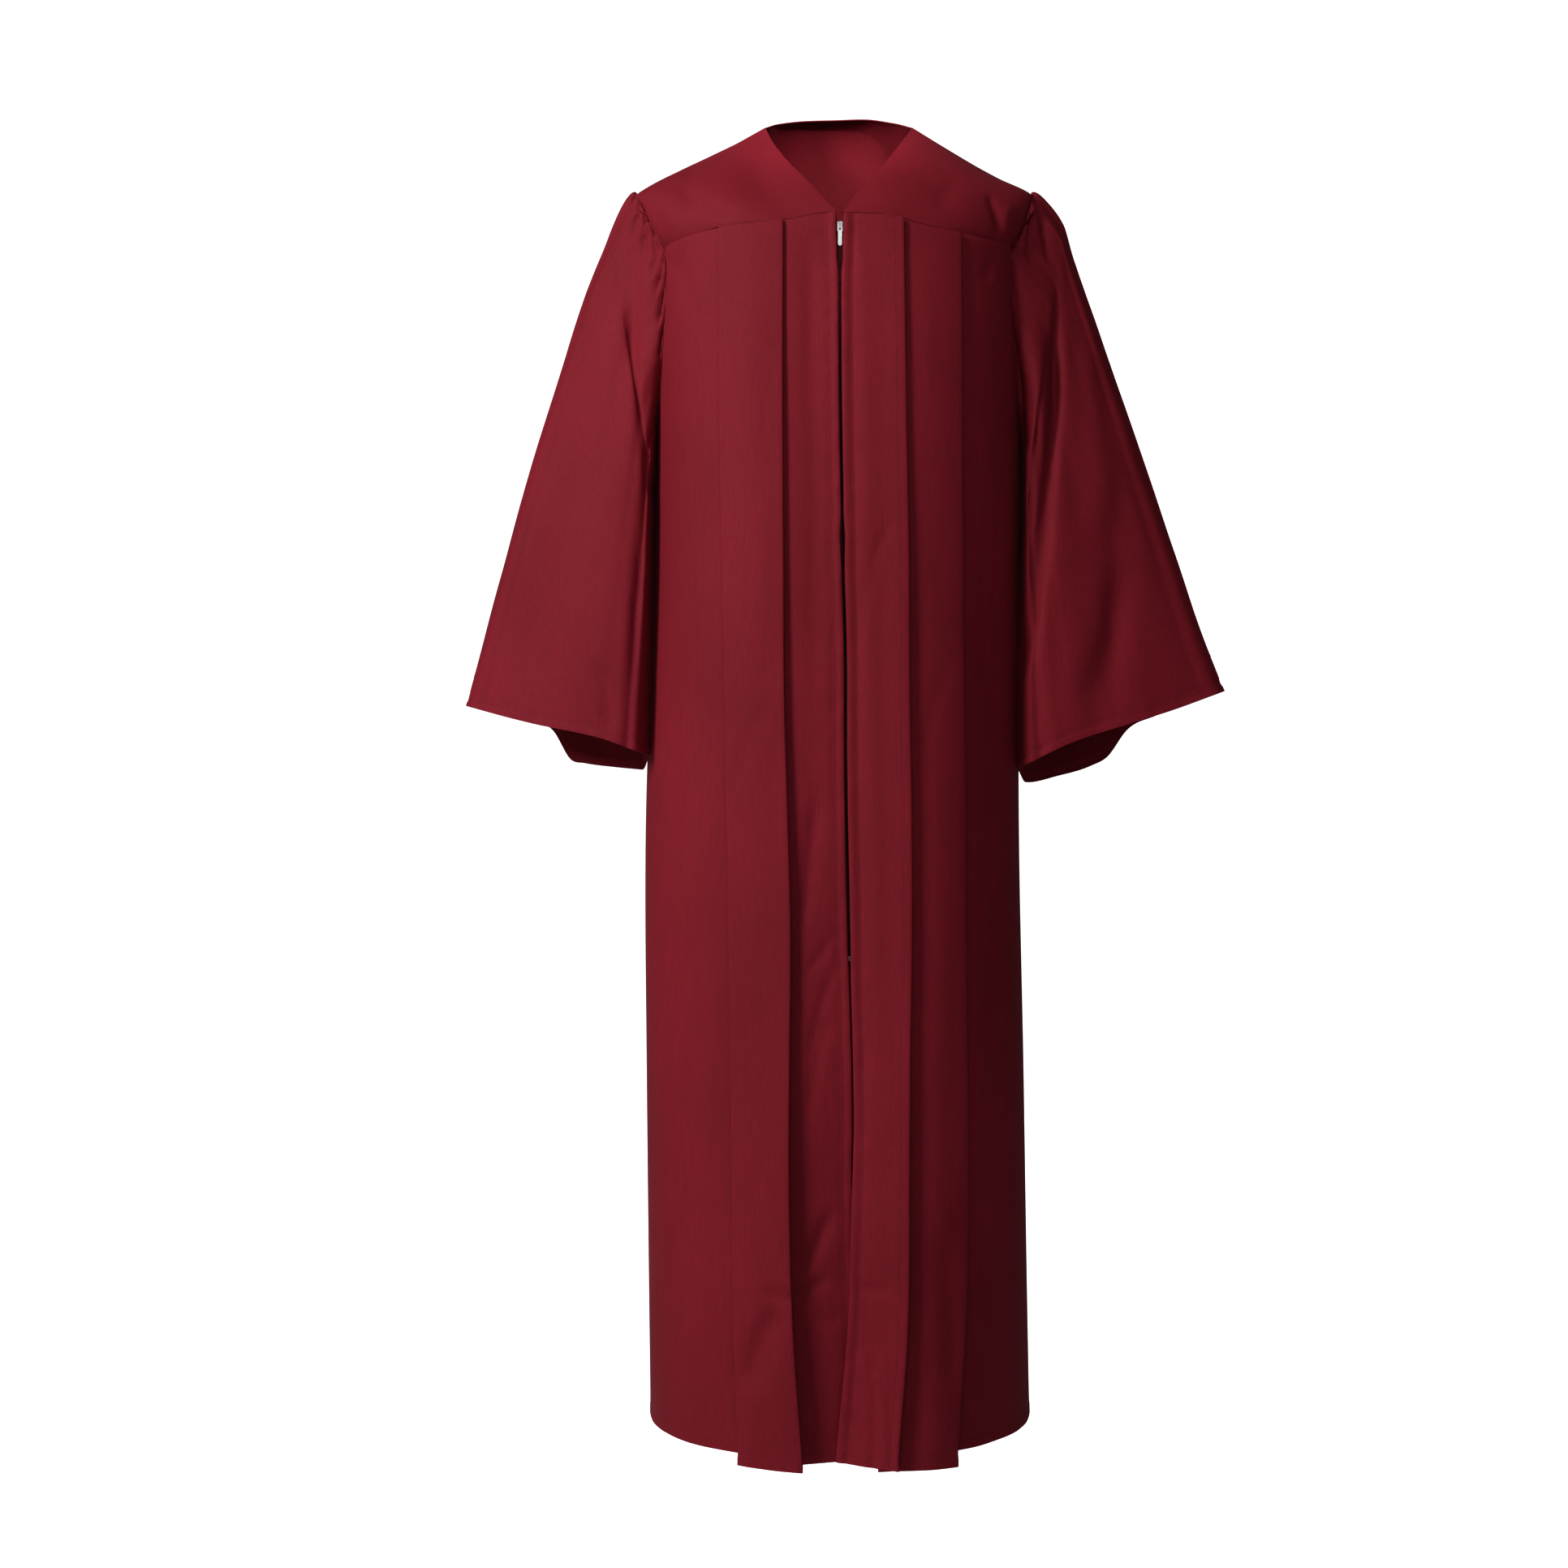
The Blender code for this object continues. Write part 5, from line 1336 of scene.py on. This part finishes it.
def make_camera():
    data = bpy.data.cameras.new("camera")
    data.lens = data.sensor_width * -CAMERA_PLACE.y / FRAME_WIDTH
    data.shift_x = FRAME_CENTRE_X / FRAME_WIDTH
    camera = bpy.data.objects.new("camera", data)
    camera.location = CAMERA_PLACE
    camera.rotation_euler = (math.radians(90), 0.0, 0.0)
    bpy.context.scene.collection.objects.link(camera)
    bpy.context.scene.camera = camera


def make_light(name, at, aim, size, power, spread=180):
    data = bpy.data.lights.new(name, "AREA")
    data.shape = "RECTANGLE"
    data.size, data.size_y = size
    data.energy = power
    data.spread = math.radians(spread)
    light = bpy.data.objects.new(name, data)
    light.location = at
    light.rotation_euler = (Vector(aim) - Vector(at)).to_track_quat("-Z", "Y").to_euler()
    bpy.context.scene.collection.objects.link(light)


def make_stage():
    """A pale floor that looks as white as the background and doesn't light the robe."""
    material, nodes, links, shader = new_material("pale_floor", FLOOR_FINISH)
    grain = noise_node(nodes, links, **NOISES["grain"])
    links.new(colour_between(nodes, links, grain, *COLOURS["pale_floor"]), shader.inputs["Base Color"])
    rays = nodes.new("ShaderNodeLightPath")
    links.new(rays.outputs["Is Camera Ray"], shader.inputs["Emission Strength"])
    points = np.array([(x * FLOOR_HALF, y * FLOOR_HALF, FLOOR)
                       for x, y in ((-1, -1), (1, -1), (1, 1), (-1, 1))])
    new_mesh("floor", points, np.array([[0, 1, 2, 3]]), material)


def make_lights():
    """Soft light from the front left, with hardly any fill; the background itself is white."""
    bpy.context.scene.view_settings.view_transform = "Standard"
    bpy.context.scene.view_settings.look = "Medium High Contrast"
    world = bpy.data.worlds.new("studio")
    bpy.context.scene.world = world
    world.use_nodes = True
    nodes, links = world.node_tree.nodes, world.node_tree.links
    rays = nodes.new("ShaderNodeLightPath")
    strength = nodes.new("ShaderNodeMapRange")
    strength.inputs["To Min"].default_value = WORLD_LIGHT
    strength.inputs["To Max"].default_value = 1.0
    links.new(rays.outputs["Is Camera Ray"], strength.inputs["Value"])
    background = nodes["Background"]
    background.inputs["Color"].default_value = (1.0, 1.0, 1.0, 1.0)
    links.new(strength.outputs["Result"], background.inputs["Strength"])
    for name, light in LIGHTS.items():
        make_light(name, **light)


burgundy = cloth_material("burgundy_polyester", CLOTH_SHEEN)
tape_cloth = cloth_material("zip_tape", TAPE_SHEEN)
# Stitching thread, its colour darkened partly with painted shade
sewing = thread_material("burgundy_thread_painted_shade")
# Zip coil, its colour darkened partly with painted shade
coil_painted_shade = thread_material("zip_coil_painted_shade")
nickel = metal_material("nickel", NICKEL_ROUGHNESS)
dark_nickel = metal_material("dark_nickel", DARK_NICKEL_ROUGHNESS)

for side in ("right", "left"):
    sew_front(side, *make_front(side, burgundy), sewing)
    make_sleeve(side, burgundy, sewing)
make_yokes(burgundy)
make_back(burgundy, sewing)
make_zip(tape_cloth, coil_painted_shade)
finishes = {"zip_slider": dark_nickel, "zip_pull_tab": nickel, "zip_bottom_stop": nickel}
for node, finish in finishes.items():
    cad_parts[node].data.materials.clear()
    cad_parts[node].data.materials.append(finish)
make_camera()
make_lights()
make_stage()
